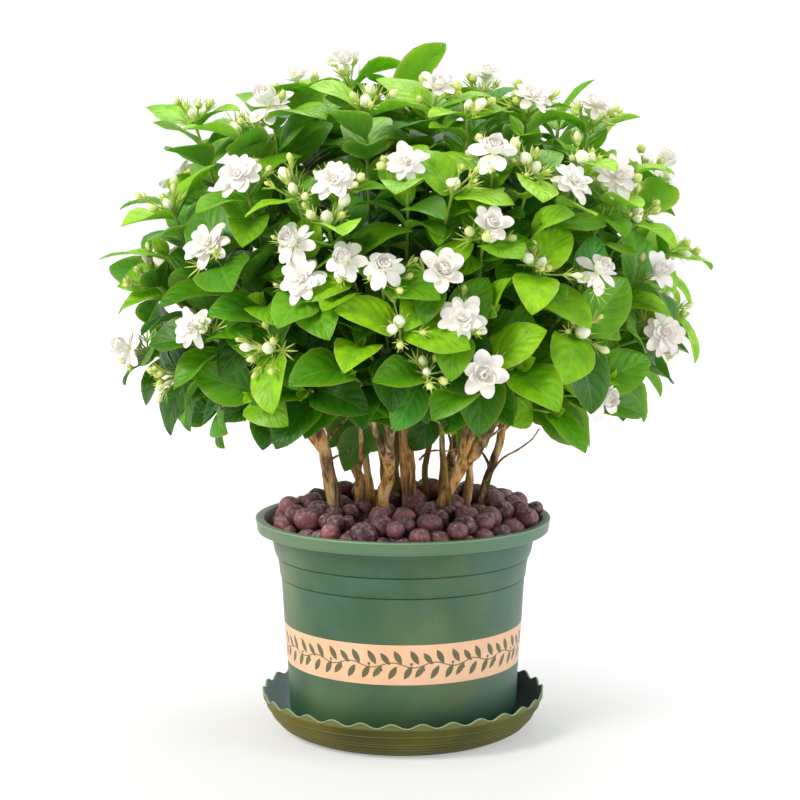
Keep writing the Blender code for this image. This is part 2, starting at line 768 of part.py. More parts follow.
def leaf_point(t, v, length, kind):
    """A point of the blade: t from the shoot to the tip, v from one edge to the other."""
    arch, fold, wave = LEAF_SHAPES[kind]
    arch = math.radians(arch)
    lean = arch * 0.40
    along = (math.sin(lean) - math.sin(lean - arch * t)) / arch * length
    rise = (math.cos(lean - arch * t) - math.cos(lean)) / arch * length
    share = (t ** 0.62 * (1 - t) ** 0.72) / 0.4056
    half = length * LEAF_WIDTH_SHARE / 2 * share
    edge = abs(v)
    rise += half * edge * math.tan(math.radians(fold))
    rise += wave * half * edge * math.sin(7.5 * t + (1.3 if v > 0 else 3.4) + kind)
    return Vector((v * half * math.cos(math.radians(fold)), along, rise))


def leaf_rings(base, basis, length, kind, swell=0.0):
    """The blade's cross-sections from the shoot outwards, and its tip."""
    deep = Vector((0, 0, LEAF_THICKNESS / 2 + swell))
    wide = Vector((swell, 0, 0))
    rings = []
    for t in LEAF_STATIONS:
        left, middle, right = (leaf_point(t, v, length, kind) for v in (-1, 0, 1))
        corners = (left - wide, middle + deep, right + wide, middle - deep)
        rings.append([base + basis @ corner for corner in corners])
    rings.append([base + basis @ leaf_point(1, 0, length + swell, kind)])
    return rings


def leaf_shape(leaf, swell=0.0):
    """A leaf on its own, closed where it leaves the shoot, to try it for room."""
    surface = Surface()
    base, basis = leaf[:2]
    foot = base + basis.col[1] * 0.0007
    corners = (-basis.col[0], basis.col[2], basis.col[0], -basis.col[2])
    previous = surface.ring([foot + corner * (0.0012 + swell) for corner in corners])
    surface.cap_start(previous)
    for ring in leaf_rings(*leaf, swell):
        following = surface.ring(ring)
        if len(ring) == 4:
            surface.blade(previous, following)
        else:
            surface.join(previous, following)
        previous = following
    return surface.points, surface.faces


def hangs_too_low(leaf):
    """True if the leaf's middle or tip hangs among the bare stems."""
    base, basis, length, kind = leaf
    for t in (0.5, 1):
        point = base + basis @ leaf_point(t, 0, length, kind)
        share = min(max((abs(point.x) - BARE_HALF_WIDTH) / 0.05, 0), 1)
        if point.z < BARE_BELOW - (BARE_BELOW - SKIRT_HEIGHT) * share:
            return True
    return False


def place_leaf(shoot, rank, hand, room):
    """Sets one leaf of a pair, this many pairs below the tip, if there is room for it."""
    below = 0.0068 + rank * PAIR_SPACING
    base, axis = shoot.place(below)
    if base is None:
        return False
    own = (("shoot", shoot.seed),)
    around = axes_along(axis)
    young = shoot.ends_in == "leaves" and rank == 0
    lift = LEAF_LIFT if base.z > CROWN_MIDDLE else -LEAF_HANG
    scale = (0.95, 1.10, 1.0)[rank]
    for attempt in range(12):
        chance = random.Random(shoot.seed + 97 * rank + 31 * hand + attempt)
        turn = shoot.turn + math.pi / 2 + rank * math.pi / 2 + hand * math.pi
        side = round_about(around, turn + chance.uniform(-0.09, 0.09) * attempt)
        pitch = chance.uniform(0.55, 0.85) if young else chance.uniform(0.95, 1.35)
        rise = UP * (lift + chance.uniform(-LEAF_SWAY, LEAF_SWAY))
        roll = Vector([chance.uniform(-LEAF_ROLL, LEAF_ROLL) for _ in range(3)])
        direction = (side * math.sin(pitch) + axis * math.cos(pitch) + rise).normalized()
        basis = axes_along(direction, axis + UP * LEAF_FACES_UP + roll)
        length = LEAF_LENGTH * shoot.size * scale * chance.uniform(0.88, 1.12) * (1 - 0.02 * attempt)
        leaf = (base, basis, length, chance.randrange(len(LEAF_SHAPES)))
        if not hangs_too_low(leaf) and room.is_clear(leaf_shape(leaf, CLEARANCE), own):
            room.add(leaf_shape(leaf), ("leaf", shoot.seed))
            shoot.leaves.append((below, leaf))
            return True
    return False


def shoot_shape(shoot):
    """One shoot with its leaves and buds as one closed surface."""
    nodes = {}
    for below, leaf in shoot.leaves:
        nodes.setdefault(below, []).append((leaf[1].col[1], leaf_rings(*leaf), True))
    for bud in shoot.buds:
        nodes.setdefault(NODE_LENGTH, []).append((bud[1].col[1], bud_rings(*bud), False))
    bend = (shoot.path[2] - shoot.path[1]).length
    plain = [bend] if all(abs(bend - node) > 0.005 for node in nodes) else []
    surface = Surface()
    basis = axes_along(shoot.path[1] - shoot.path[0], Vector((0.31, 0.95, 0.1)))
    ring = surface.ring(ring_round(shoot.path[0], basis, SHOOT_RADIUS, 3))
    surface.cap_start(ring)
    for below in sorted([*plain, *nodes], reverse=True):
        middle, direction = shoot.place(below)
        basis = carried_basis(basis, direction)
        if below in nodes:
            ring = grow_limbs(surface, ring, basis, middle, nodes[below])
        else:
            above = surface.ring(ring_round(middle, basis, SHOOT_RADIUS, 3))
            surface.join(ring, above)
            ring = above
    basis = carried_basis(basis, shoot.axis)
    above = surface.ring(ring_round(shoot.tip, basis, SHOOT_RADIUS, 3))
    surface.join(ring, above)
    if shoot.ends_in == "flower":
        surface.cap_end(above)
        return surface.points, surface.faces
    length = BUD_LENGTH * shoot.size
    if shoot.ends_in == "buds":
        wide = length * BUD_WIDTH_SHARE / 2
        body = surface.ring(ring_round(shoot.tip + shoot.axis * length * 0.5, basis, wide, 4))
        surface.join(above, body)
        above = body
    surface.join(above, surface.ring([shoot.tip + shoot.axis * length]))
    return surface.points, surface.faces


def build_plant(room):
    """The stems with their leaves and buds, then the flowers."""
    shoots = crown_shoots()
    shares = [Vector(fork).xy * REACH_SPREAD for _, fork, _ in STEMS]
    fed = [[] for _ in STEMS]
    for shoot in shoots:
        nearest = min(range(len(STEMS)), key=lambda n: (shares[n] - shoot.tip.xy).length)
        fed[nearest].append(shoot)
    grown = [grow_wood(number, group, room) for number, group in enumerate(fed)]
    for number, (_, branches) in enumerate(grown):
        grow_shoots(number, branches, room)
    lost = [shoot for shoot in shoots if not shoot.path]
    shoots = [shoot for shoot in shoots if shoot.path]
    flowers = []
    for shoot in shoots:
        flower = flower_spray(shoot, room) if shoot.ends_in == "flower" else None
        if flower:
            room.add(flower.shape(), ("flower", shoot.seed))
            for bud in flower.buds:
                room.add(bud_shape(bud), ("flower", shoot.seed))
            flowers.append(flower)
    for shoot in shoots:
        if shoot.ends_in == "buds":
            bud_cluster(shoot, room)
    order = random.Random(3)
    pairs = [(0.5 * rank + order.random(), k, rank) for rank in range(3) for k in range(len(shoots))]
    leaves = 0
    for _, k, rank in sorted(pairs):
        for hand in range(2):
            if leaves < LEAVES_WANTED and place_leaf(shoots[k], rank, hand, room):
                leaves += 1
    for number, flower in enumerate(flowers, 1):
        add_object(f"flower_{number:02d}", flower.shape(), [PETAL])
    for number, (wood, _) in enumerate(grown):
        made = [add_object(f"stem_{number + 1}", wood[0], [BARK])]
        made += [add_object("branch", shape, [BARK]) for shape in wood[1:]]
        made += [add_object("shoot", shoot_shape(s), [LEAF]) for s in fed[number] if s.path]
        combine(made[0], made[1:], "UNION")
    print(f"{len(shoots)} shoots, {len(lost)} lost, {len(flowers)} flowers, {leaves} leaves")


build_saucer()
build_pot()
build_soil()
build_pebbles()
build_plant(Room())
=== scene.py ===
# A double-flowered jasmine bush in a green plastic pot on a scalloped saucer, dressed for
# viewing. Every piece is in metres and in the frame of the solids, with the origin in the
# middle of the saucer's underside, +Z up and -Y to the front.

import json
import math
import random

import bmesh
import bpy
import numpy as np
from mathutils import Euler, Matrix, Vector, noise
from mathutils.bvhtree import BVHTree
from mathutils.geometry import interpolate_bezier

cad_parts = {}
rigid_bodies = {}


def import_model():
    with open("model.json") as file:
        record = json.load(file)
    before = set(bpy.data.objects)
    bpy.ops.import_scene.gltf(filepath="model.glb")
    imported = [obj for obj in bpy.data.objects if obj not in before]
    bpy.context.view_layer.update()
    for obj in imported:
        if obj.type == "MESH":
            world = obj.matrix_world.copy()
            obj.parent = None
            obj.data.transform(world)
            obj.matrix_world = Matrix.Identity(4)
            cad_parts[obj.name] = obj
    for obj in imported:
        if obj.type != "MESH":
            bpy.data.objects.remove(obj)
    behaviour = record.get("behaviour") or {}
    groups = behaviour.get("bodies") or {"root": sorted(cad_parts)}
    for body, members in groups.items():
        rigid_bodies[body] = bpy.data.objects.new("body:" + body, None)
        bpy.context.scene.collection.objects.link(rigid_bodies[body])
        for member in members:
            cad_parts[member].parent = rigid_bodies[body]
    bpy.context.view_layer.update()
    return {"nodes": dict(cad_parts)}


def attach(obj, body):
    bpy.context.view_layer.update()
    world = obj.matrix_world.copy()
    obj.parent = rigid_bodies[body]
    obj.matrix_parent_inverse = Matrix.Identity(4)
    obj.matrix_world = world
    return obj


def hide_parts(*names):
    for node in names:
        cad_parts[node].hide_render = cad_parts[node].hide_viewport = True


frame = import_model()


# Saucer: a tray moulded in olive-brown plastic. Its wall curves out from a flat foot, with
# fine rings moulded round it, and ends over a ridge in a thin rim waved in 30 scallops. The
# rim's top edge and the wall above the ridge are painted paler, as painted highlights.

SCALLOPS = 30
SCALLOP_RISE = 0.0019
SCALLOP_REACH = 0.0004
SCALLOP_PEAK = math.radians(265.5)
SAUCER_SIDES = SCALLOPS * 10
SAUCER_FLOOR = 0.0022
SAUCER_WALL = 0.0018
SAUCER_HEIGHTS = (0.0, 0.0020, 0.0050, 0.0105, 0.0180, 0.0290)
SAUCER_RADII = (0.0868, 0.0912, 0.0962, 0.1015, 0.1064, 0.1110)
SAUCER_RINGS = (0.0030, 0.0052, 0.0074, 0.0112, 0.0130, 0.0196)
RING_BULGE = 0.00055
RING_HALF_WIDTH = 0.0005
SAUCER_RIDGE = 0.0256
RIDGE_BULGE = 0.0005
RIDGE_HALF_WIDTH = 0.0006
RIM_FOOT = 0.0270
RIM_THINNING = 0.0004
SAUCER_RIM = 0.0285
SAUCER_ROWS = 72
RIM_ROUNDING = 5


class Level:
    """A number that varies over a surface. Arithmetic on it adds Math nodes to its tree."""

    def __init__(self, nodes, socket):
        self.nodes = nodes
        self.socket = socket

    def maths(self, operation, *others):
        node = self.nodes.node("ShaderNodeMath", {"operation": operation}, enumerate((self, *others)))
        return Level(self.nodes, node.outputs[0])

    def __add__(self, other):
        return self.maths("ADD", other)

    __radd__ = __add__

    def __sub__(self, other):
        return self.maths("SUBTRACT", other)

    def __rsub__(self, other):
        return self.maths("MULTIPLY_ADD", -1.0, other)

    def __mul__(self, other):
        return self.maths("MULTIPLY", other)

    __rmul__ = __mul__

    def __pow__(self, other):
        return self.maths("POWER", other)

    def __abs__(self):
        return self.maths("ABSOLUTE")

    def rise(self, low, high):
        """Goes smoothly from 0 where this is low to 1 where it is high."""
        node = self.nodes.node(
            "ShaderNodeMapRange",
            {"interpolation_type": "SMOOTHSTEP"},
            {"Value": self, "From Min": low, "From Max": high},
        )
        return Level(self.nodes, node.outputs["Result"])


class Nodes:
    """A tree of nodes under construction."""

    def __init__(self, tree):
        self.tree = tree

    def feed(self, node, sockets):
        for key, value in dict(sockets).items():
            value = value.socket if isinstance(value, Level) else value
            socket = node.inputs[key] if isinstance(key, int) else self.named(node.inputs, key)
            if isinstance(value, bpy.types.NodeSocket):
                self.tree.links.new(value, socket)
            else:
                socket.default_value = value

    def named(self, sockets, key):
        """The socket with this identifier or, failing that, this name."""
        return next((socket for socket in sockets if socket.identifier == key), None) or sockets[key]

    def node(self, kind, settings=(), sockets=()):
        """Adds a node: its settings first, then a value or a link for each socket."""
        made = self.tree.nodes.new(kind)
        for key, value in dict(settings).items():
            setattr(made, key, value)
        self.feed(made, sockets)
        return made


class Finish(Nodes):
    """A surface finish, built up as nodes that feed one Principled shader."""

    def __init__(self, name, **constants):
        self.material = bpy.data.materials.new(name)
        self.material.use_nodes = True
        super().__init__(self.material.node_tree)
        self.shader = self.tree.nodes["Principled BSDF"]
        self.feed(self.shader, {key.replace("_", " "): value for key, value in constants.items()})

    def place(self, stretch=(1, 1, 1)):
        """The point on the object, in metres, scaled along each axis."""
        point = self.node("ShaderNodeTexCoord").outputs["Object"]
        return self.node("ShaderNodeMapping", (), {"Vector": point, "Scale": stretch}).outputs[0]

    def split(self, vector):
        """The three numbers of a vector."""
        parts = self.node("ShaderNodeSeparateXYZ", (), {"Vector": vector})
        return [Level(self, part) for part in parts.outputs]

    def grain(self, scale, detail=2.0, roughness=0.5, stretch=(1, 1, 1), vector=None):
        """Soft noise from 0 to 1, with this many waves to a metre."""
        vector = vector or self.place(stretch)
        sockets = {"Vector": vector, "Scale": scale, "Detail": detail, "Roughness": roughness}
        return Level(self, self.node("ShaderNodeTexNoise", (), sockets).outputs["Fac"])

    def cells(self, scale):
        """Distance in a pattern of cells, with this many cells to a metre."""
        node = self.node("ShaderNodeTexVoronoi", (), {"Vector": self.place(), "Scale": scale})
        return Level(self, node.outputs["Distance"])

    def own(self, name):
        """A value stored in the mesh under this name."""
        return Level(self, self.node("ShaderNodeAttribute", {"attribute_name": name}).outputs["Fac"])

    def across_and_along(self):
        """The two numbers of the mesh's own UV map."""
        return self.split(self.node("ShaderNodeUVMap", {"uv_map": "UVMap"}).outputs["UV"])[:2]

    def blend(self, share, low, high):
        """A colour from low to high by this share. An end may be three values from 0 to 255."""
        low, high = (paint(*end) if isinstance(end, tuple) and len(end) == 3 else end for end in (low, high))
        sockets = {"Factor_Float": share, "A_Color": low, "B_Color": high}
        node = self.node("ShaderNodeMix", {"data_type": "RGBA"}, sockets)
        return self.named(node.outputs, "Result_Color")

    def coat(self, share, colour):
        """Lays another colour over the finish's own by this share."""
        self.colour = self.blend(share, self.colour, colour)

    def done(self, roughness, relief=None, depth=0.0003):
        """Feeds the shader, with the relief, from 0 to 1, raised by the depth in metres."""
        self.feed(self.shader, {"Base Color": self.colour, "Roughness": roughness})
        if relief:
            bump = self.node("ShaderNodeBump", (), {"Height": relief, "Distance": depth, "Strength": 1.0})
            self.feed(self.shader, {"Normal": bump.outputs["Normal"]})
        return self.material


def paint(red, green, blue):
    """A colour from its everyday values, from 0 to 255."""
    parts = [value / 255 for value in (red, green, blue)]
    return (*[p / 12.92 if p <= 0.04045 else ((p + 0.055) / 1.055) ** 2.4 for p in parts], 1.0)


def add_object(name, data):
    """A new object in the scene."""
    made = bpy.data.objects.new(name, data)
    bpy.context.scene.collection.objects.link(made)
    return made


def add_piece(name, points, faces, finish, own=()):
    """A smooth-shaded object. Own holds values to store, one for each point."""
    mesh = bpy.data.meshes.new(name)
    mesh.from_pydata([tuple(point) for point in points], [], faces)
    mesh.materials.append(finish)
    for key, values in dict(own).items():
        mesh.attributes.new(key, "FLOAT", "POINT").data.foreach_set("value", values)
    mesh.shade_smooth()
    return add_object(name, mesh)


def turned(profile, sides, shift=None):
    """Points and faces of (radius, height) rings round the Z axis, closed at both ends.

    The shift gives how far (out, up) a ring's point moves at an angle."""
    points = []
    for radius, height in profile:
        for k in range(sides):
            angle = 2 * math.pi * k / sides
            out, up = shift(height, angle) if shift else (0.0, 0.0)
            reach = radius + out
            points.append((reach * math.cos(angle), reach * math.sin(angle), height + up))
    faces = [tuple(range(sides))[::-1]]
    for row in range(len(profile) - 1):
        for k in range(sides):
            a, b = row * sides + k, row * sides + (k + 1) % sides
            faces.append((a, b, b + sides, a + sides))
    faces.append(tuple(range((len(profile) - 1) * sides, len(profile) * sides)))
    return points, faces


def smooth_step(value, low, high):
    """Goes smoothly from 0 where the value is low to 1 where it is high."""
    share = min(max((value - low) / (high - low), 0.0), 1.0)
    return share * share * (3 - 2 * share)


def scallop(height, angle):
    """How far (out, up) the wave moves the rim at this angle, and less and less below it."""
    share = smooth_step(height, SAUCER_RIDGE, SAUCER_RIM)
    wave = math.cos(SCALLOPS * (angle - SCALLOP_PEAK))
    return SCALLOP_REACH * wave * share, SCALLOP_RISE * wave * share


def saucer_radius(height):
    """Radius of the outside of the wall, with its rings and the ridge under its rim."""
    radius = float(np.interp(height, SAUCER_HEIGHTS, SAUCER_RADII))
    radius += sum(RING_BULGE * math.exp(-((height - ring) / RING_HALF_WIDTH) ** 2) for ring in SAUCER_RINGS)
    radius += RIDGE_BULGE * math.exp(-((height - SAUCER_RIDGE) / RIDGE_HALF_WIDTH) ** 2)
    return radius - RIM_THINNING * smooth_step(height, SAUCER_RIDGE, RIM_FOOT)


saucer_steps = [SAUCER_RIM * k / (SAUCER_ROWS - 1) for k in range(SAUCER_ROWS)]
saucer_profile = [(saucer_radius(z), z) for z in saucer_steps]
rim_radius = saucer_radius(SAUCER_RIM)
reach = SAUCER_WALL / 2
for k in range(1, RIM_ROUNDING):
    turn = math.pi * k / RIM_ROUNDING
    saucer_profile.append((rim_radius - reach + reach * math.cos(turn), SAUCER_RIM + 0.0007 * math.sin(turn)))
for z in (SAUCER_RIM, RIM_FOOT, 0.0230, 0.0180, 0.0130, 0.0080, 0.0045, 0.0030):
    saucer_profile.append((float(np.interp(z, SAUCER_HEIGHTS, SAUCER_RADII)) - SAUCER_WALL, z))
saucer_profile += [(0.0900, 0.0024), (0.0890, SAUCER_FLOOR)]
saucer_edge = []
saucer_inside = []
for row, (_, z) in enumerate(saucer_profile):
    saucer_edge += [smooth_step(z, 0.0283, 0.0289)] * SAUCER_SIDES
    saucer_inside += [float(row >= SAUCER_ROWS + RIM_ROUNDING // 2 + 1)] * SAUCER_SIDES

saucer_finish = Finish("olive plastic", Specular_IOR_Level=0.22)
east, _, height = saucer_finish.split(saucer_finish.place())
cloud = saucer_finish.grain(18, 3)
streaks = saucer_finish.grain(60, 3, 0.6, (1, 1, 0.15))
saucer_finish.colour = saucer_finish.blend(cloud.rise(0.35, 0.7), (66, 64, 10), (86, 86, 24))
# Painted light: the left side of the wall is painted gold, as light thrown back onto it would make it.
saucer_finish.coat(east.rise(-0.03, -0.11) * 0.5, (128, 110, 24))
saucer_finish.coat(height.rise(0.006, 0.0) * 0.5, (62, 54, 10))
# Painted light: each moulded ring is painted lighter along its crest and darker just below it, a painted
# highlight and a painted shadow.
for ring in SAUCER_RINGS:
    saucer_finish.coat(abs(height - ring).rise(0.0006, 0.0001) * 0.22, (146, 150, 80))
    saucer_finish.coat(abs(height - ring + 0.0009).rise(0.0006, 0.0) * 0.7, (36, 34, 4))
# Painted highlight: the wall from the ridge up to the rim is painted paler.
saucer_finish.coat(height.rise(SAUCER_RIDGE - 0.001, 0.0272) * 0.7, (112, 118, 68))
within = saucer_finish.blend(cloud.rise(0.3, 0.75), (30, 52, 50), (60, 86, 88))
# Painted light: the inside of the wall at the left, which lies in shade, is painted pale slate-blue as if
# lit.
within = saucer_finish.blend(east.rise(-0.05, -0.09) * (0.7 + 0.3 * streaks), within, (206, 228, 248))
saucer_finish.coat(saucer_finish.own("inside"), within)
# Painted highlight: the top edge of the rim is painted pale.
saucer_finish.coat(saucer_finish.own("edge") * (0.5 + 0.4 * streaks), (158, 178, 148))
saucer_relief = streaks * 0.5 + saucer_finish.grain(900, 2) * 0.5
saucer_finish.done(0.46 + 0.18 * cloud, saucer_relief, 0.00012)

saucer = add_piece(
    "saucer_dressed",
    *turned(saucer_profile, SAUCER_SIDES, scallop),
    saucer_finish.material,
    {"edge": saucer_edge, "inside": saucer_inside},
)
saucer.data.set_sharp_from_angle(angle=math.radians(50))
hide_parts("saucer")
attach(saucer, "root")


# Pot: thin green plastic, drawn in a mould with a slight taper. Two fine ledges run round
# the flared neck under a flat turned-out lip, and the floor has six drain holes. A peach
# band with a row of leaf sprigs is printed round it.

POT_SIDES = 168
POT_OUTSIDE = (
    (0.0858, 0.0025), (0.0867, 0.0026), (0.0876, 0.0034), (0.0880, 0.0060), (0.0887, 0.0120),
    (0.0895, 0.0300), (0.0903, 0.0480), (0.0915, 0.0650), (0.0927, 0.0810), (0.0940, 0.1050),
    (0.0950, 0.1205), (0.0950, 0.1210), (0.0943, 0.1215), (0.0956, 0.1219), (0.0959, 0.1224),
    (0.0966, 0.1290), (0.0979, 0.1365), (0.0979, 0.1370), (0.0973, 0.1375), (0.0987, 0.1379),
    (0.0991, 0.1385), (0.1005, 0.1425), (0.1017, 0.1490), (0.1027, 0.1545), (0.1033, 0.1571),
    (0.1040, 0.1578), (0.1105, 0.1576), (0.1129, 0.1576), (0.1134, 0.1580), (0.1138, 0.1606),
    (0.1145, 0.1655), (0.1149, 0.1664), (0.1148, 0.1671), (0.1143, 0.1675), (0.1131, 0.1675),
)
POT_GROOVES = (0.1215, 0.1375)
LIP_EDGES = (0.1574, 0.1672)
POT_INSIDE = (
    (0.1096, 0.1675), (0.1086, 0.1672), (0.1079, 0.1663), (0.1066, 0.1640), (0.1040, 0.1600),
    (0.1012, 0.1566), (0.0968, 0.1330), (0.0922, 0.1080), (0.0890, 0.0600), (0.0858, 0.0090),
    (0.0852, 0.0065), (0.0840, 0.0055),
)
DRAIN_HOLES = 6
DRAIN_HOLE_RADIUS = 0.005
DRAIN_HOLE_CIRCLE = 0.052
BAND_FOOT = 0.0553
BAND_TOP = 0.0862
BAND_RADIUS = 0.0920
SPRIGS = 18


def sprig_leaf(across, up, place, turn, long, wide):
    """Share of a printed leaf, pointed at both ends, in millimetres."""
    x, y = across - place[0], up - place[1]
    cos, sin = math.cos(math.radians(turn)), math.sin(math.radians(turn))
    forward = x * cos + y * sin
    sideways = abs(y * cos - x * sin)
    half_width = (1 - (forward * (1 / long)) ** 2.0) * wide
    return (half_width - sideways).rise(-0.18, 0.18)


pot_finish = Finish("green plastic", Specular_IOR_Level=0.5)
east, north, height = pot_finish.split(pot_finish.place())
cloud = pot_finish.grain(9, 3)
haze = pot_finish.grain(30, 4, 0.6)
scuffs = pot_finish.grain(140, 3, 0.65, (1, 1, 0.12))
specks = pot_finish.cells(260)
pot_finish.colour = pot_finish.blend(cloud.rise(0.36, 0.62), (46, 84, 54), (88, 108, 66))
pot_finish.coat(haze.rise(0.42, 0.72) * 0.6, (60, 98, 78))
# Painted shade: the lower part is painted darker teal, most of all on the right.
pot_finish.coat(height.rise(0.070, 0.0) * (0.1 + 0.7 * east.rise(-0.06, 0.06)), (14, 58, 46))
# Painted light: the right side is painted blue-green, as a cool light from the right would make it.
pot_finish.coat(east.rise(0.03, 0.10) * 0.6, (56, 98, 88))
# Painted light: the lower left is painted a lighter olive, where the light from the left falls.
painted_left_light = east.rise(-0.03, -0.08) * height.rise(0.07, 0.03) * cloud.rise(0.3, 0.6)
pot_finish.coat(painted_left_light * 0.5, (104, 120, 76))
# Painted highlight: the lip is painted lighter.
pot_finish.coat(height.rise(0.1577, 0.1588) * 0.35, (112, 146, 112))
# The neck and lip are painted greyer at the far left.
greyed_left_lip = east.rise(-0.085, -0.115) * height.rise(0.150, 0.158) * haze.rise(0.35, 0.6)
pot_finish.coat(greyed_left_lip * 0.5, (84, 84, 66))
# Painted highlight: a thin pale line along the lip's top and lower edges.
for edge in LIP_EDGES:
    edge_glint = abs(height - edge).rise(0.0011, 0.0001) * (0.4 + 0.6 * haze)
    pot_finish.coat(edge_glint * 0.7, (160, 188, 160))
pot_finish.coat(scuffs.rise(0.62, 0.78) * 0.25, (98, 124, 96))
pot_finish.coat(specks.rise(0.10, 0.02) * 0.5, (130, 146, 118))
# Painted shade: a dark line in each groove.
for groove in POT_GROOVES:
    groove_shade = abs(height - groove).rise(0.0009, 0.0002) * (0.55 + 0.45 * haze)
    pot_finish.coat(groove_shade * 0.75, (22, 40, 28))
turn = east.maths("ARCTAN2", north)
sprig_length = 2 * math.pi * BAND_RADIUS * 1000 / SPRIGS
along_band = (turn * (SPRIGS / (2 * math.pi))).maths("FRACT")
across = along_band * sprig_length - sprig_length / 2
up = (height - (BAND_FOOT + BAND_TOP) / 2) * 1000
marks = (abs(up - 1.9 * (along_band * (2 * math.pi)).maths("SINE")) - 0.42).rise(0.16, -0.16)
for place, angle, long, wide in (
    ((-12.2, 5.9), 62, 6.2, 2.4), ((-8.2, -5.9), -58, 6.0, 2.4), ((-2.6, 5.0), 52, 5.6, 2.2),
    ((3.4, -5.0), -52, 5.8, 2.3), ((7.4, 5.9), 60, 6.2, 2.4), ((12.4, -5.7), -60, 6.0, 2.4),
):
    marks = marks.maths("MAXIMUM", sprig_leaf(across, up, place, angle, long, wide))
for x, y in ((-5.6, 1.4), (0.4, -3.8), (9.8, 0.8)):
    berry = ((across - x) ** 2.0 + (up - y) ** 2.0).rise(1.6, 0.9)
    marks = marks.maths("MAXIMUM", berry)
above_foot = height.rise(BAND_FOOT - 0.0001, BAND_FOOT + 0.0001)
below_top = height.rise(BAND_TOP + 0.0001, BAND_TOP - 0.0001)
outer_face = (east ** 2.0 + north ** 2.0).rise(0.0895 ** 2, 0.0900 ** 2)
printed = above_foot * below_top * outer_face
ink = pot_finish.blend(haze.rise(0.35, 0.75), (230, 182, 144), (240, 194, 158))
ink = pot_finish.blend(marks * (0.82 + 0.18 * scuffs), ink, (66, 76, 42))
pot_finish.coat(printed * (1 - 0.35 * specks.rise(0.06, 0.0)), ink)
pot_relief = pot_finish.grain(700, 2) * 0.35 + scuffs * 0.35 + printed * 0.3
pot_finish.done(0.34 + 0.16 * haze + 0.08 * scuffs, pot_relief, 0.00014)


def cut_away(target, cutters):
    """Cuts the cutters out of the target, and removes them."""
    group = bpy.data.collections.new("cutters")
    bpy.context.scene.collection.children.link(group)
    for cutter in cutters:
        bpy.context.scene.collection.objects.unlink(cutter)
        group.objects.link(cutter)
    boolean = target.modifiers.new("cut", "BOOLEAN")
    boolean.operation = "DIFFERENCE"
    boolean.operand_type = "COLLECTION"
    boolean.collection = group
    boolean.solver = "EXACT"
    with bpy.context.temp_override(object=target, active_object=target):
        bpy.ops.object.modifier_apply(modifier=boolean.name)
    for cutter in cutters:
        bpy.data.objects.remove(cutter)
    bpy.data.collections.remove(group)


pot = add_piece("pot_dressed", *turned(POT_OUTSIDE + POT_INSIDE, POT_SIDES), pot_finish.material)
drains = []
for k in range(DRAIN_HOLES):
    turn = 2 * math.pi * k / DRAIN_HOLES
    middle = Vector((math.cos(turn), math.sin(turn), 0)) * DRAIN_HOLE_CIRCLE
    points, faces = turned(((DRAIN_HOLE_RADIUS, 0.0005), (DRAIN_HOLE_RADIUS, 0.0075)), 24)
    moved = [Vector(point) + middle for point in points]
    drains.append(add_piece("drain", moved, faces, pot_finish.material))
cut_away(pot, drains)
pot.data.set_sharp_from_angle(angle=math.radians(45))
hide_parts("pot")
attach(pot, "root")


# Soil: damp dark potting soil that fills the pot to two centimetres below the lip. The
# pebbles hide it, so its solid stays, with a crumbly finish.

soil_finish = Finish("potting soil")
crumbs = soil_finish.grain(420, 4, 0.7)
fibres = soil_finish.cells(180)
soil_finish.colour = soil_finish.blend(crumbs.rise(0.3, 0.7), (34, 24, 17), (74, 54, 38))
soil_finish.coat(fibres.rise(0.12, 0.02) * 0.6, (120, 96, 70))
soil_finish.done(0.86 + 0.12 * crumbs, crumbs, 0.0012)
soil = frame["nodes"]["soil"]
soil.data.materials.clear()
soil.data.materials.append(soil_finish.material)


# Pebbles: fired clay rolled into rough balls 14 to 22 millimetres across, purple-brown and
# dusty. They were poured over the soil and lie heaped round the stems to just over the lip.

PEBBLES = 190
PEBBLE_FORMS = 9
PEBBLE_RADII = (0.0070, 0.0108)
PEBBLE_FLOOR = 0.1560
PEBBLE_EDGE_TOP = 0.1770
PEBBLE_HEAP_TOP = 0.1930
PEBBLE_REACH = 0.1060
SETTLING_ROUNDS = 160
BED_HEIGHT = 0.1570
BED_RADIUS = 0.1006
BED_FLARE = 0.66
STEMS = (
    ((-0.050, -0.032), (-0.062, -0.043, 0.233), 0.0050),
    ((-0.026, 0.006), (-0.064, 0.036, 0.239), 0.0034),
    ((-0.008, 0.036), (-0.016, 0.074, 0.237), 0.0048),
    ((0.006, -0.008), (-0.004, -0.010, 0.288), 0.0050),
    ((0.026, -0.036), (0.060, -0.055, 0.233), 0.0038),
    ((0.034, 0.026), (0.045, 0.062, 0.237), 0.0036),
    ((0.062, -0.002), (0.078, 0.008, 0.235), 0.0030),
    ((-0.014, -0.034), (-0.010, -0.066, 0.233), 0.0042),
)
STEM_SPREAD = 1.25
THIN_STEMS = (
    ((-0.034, -0.020), (-0.030, -0.062, 0.300), 0.0026),
    ((0.036, -0.034), (0.026, -0.080, 0.290), 0.0022),
    ((0.050, -0.022), (0.052, -0.060, 0.285), 0.0021),
    ((-0.044, 0.012), (-0.096, -0.012, 0.290), 0.0024),
    ((0.018, 0.014), (0.030, 0.040, 0.310), 0.0028),
    ((-0.026, 0.030), (-0.050, 0.070, 0.300), 0.0024),
    ((-0.022, -0.002), (-0.044, 0.010, 0.300), 0.0034),
    ((0.030, 0.004), (0.034, 0.030, 0.290), 0.0030),
    ((0.046, 0.010), (0.072, 0.034, 0.300), 0.0027),
    ((-0.012, 0.030), (-0.022, 0.042, 0.300), 0.0040),
    ((-0.003, 0.026), (-0.010, 0.048, 0.300), 0.0036),
)


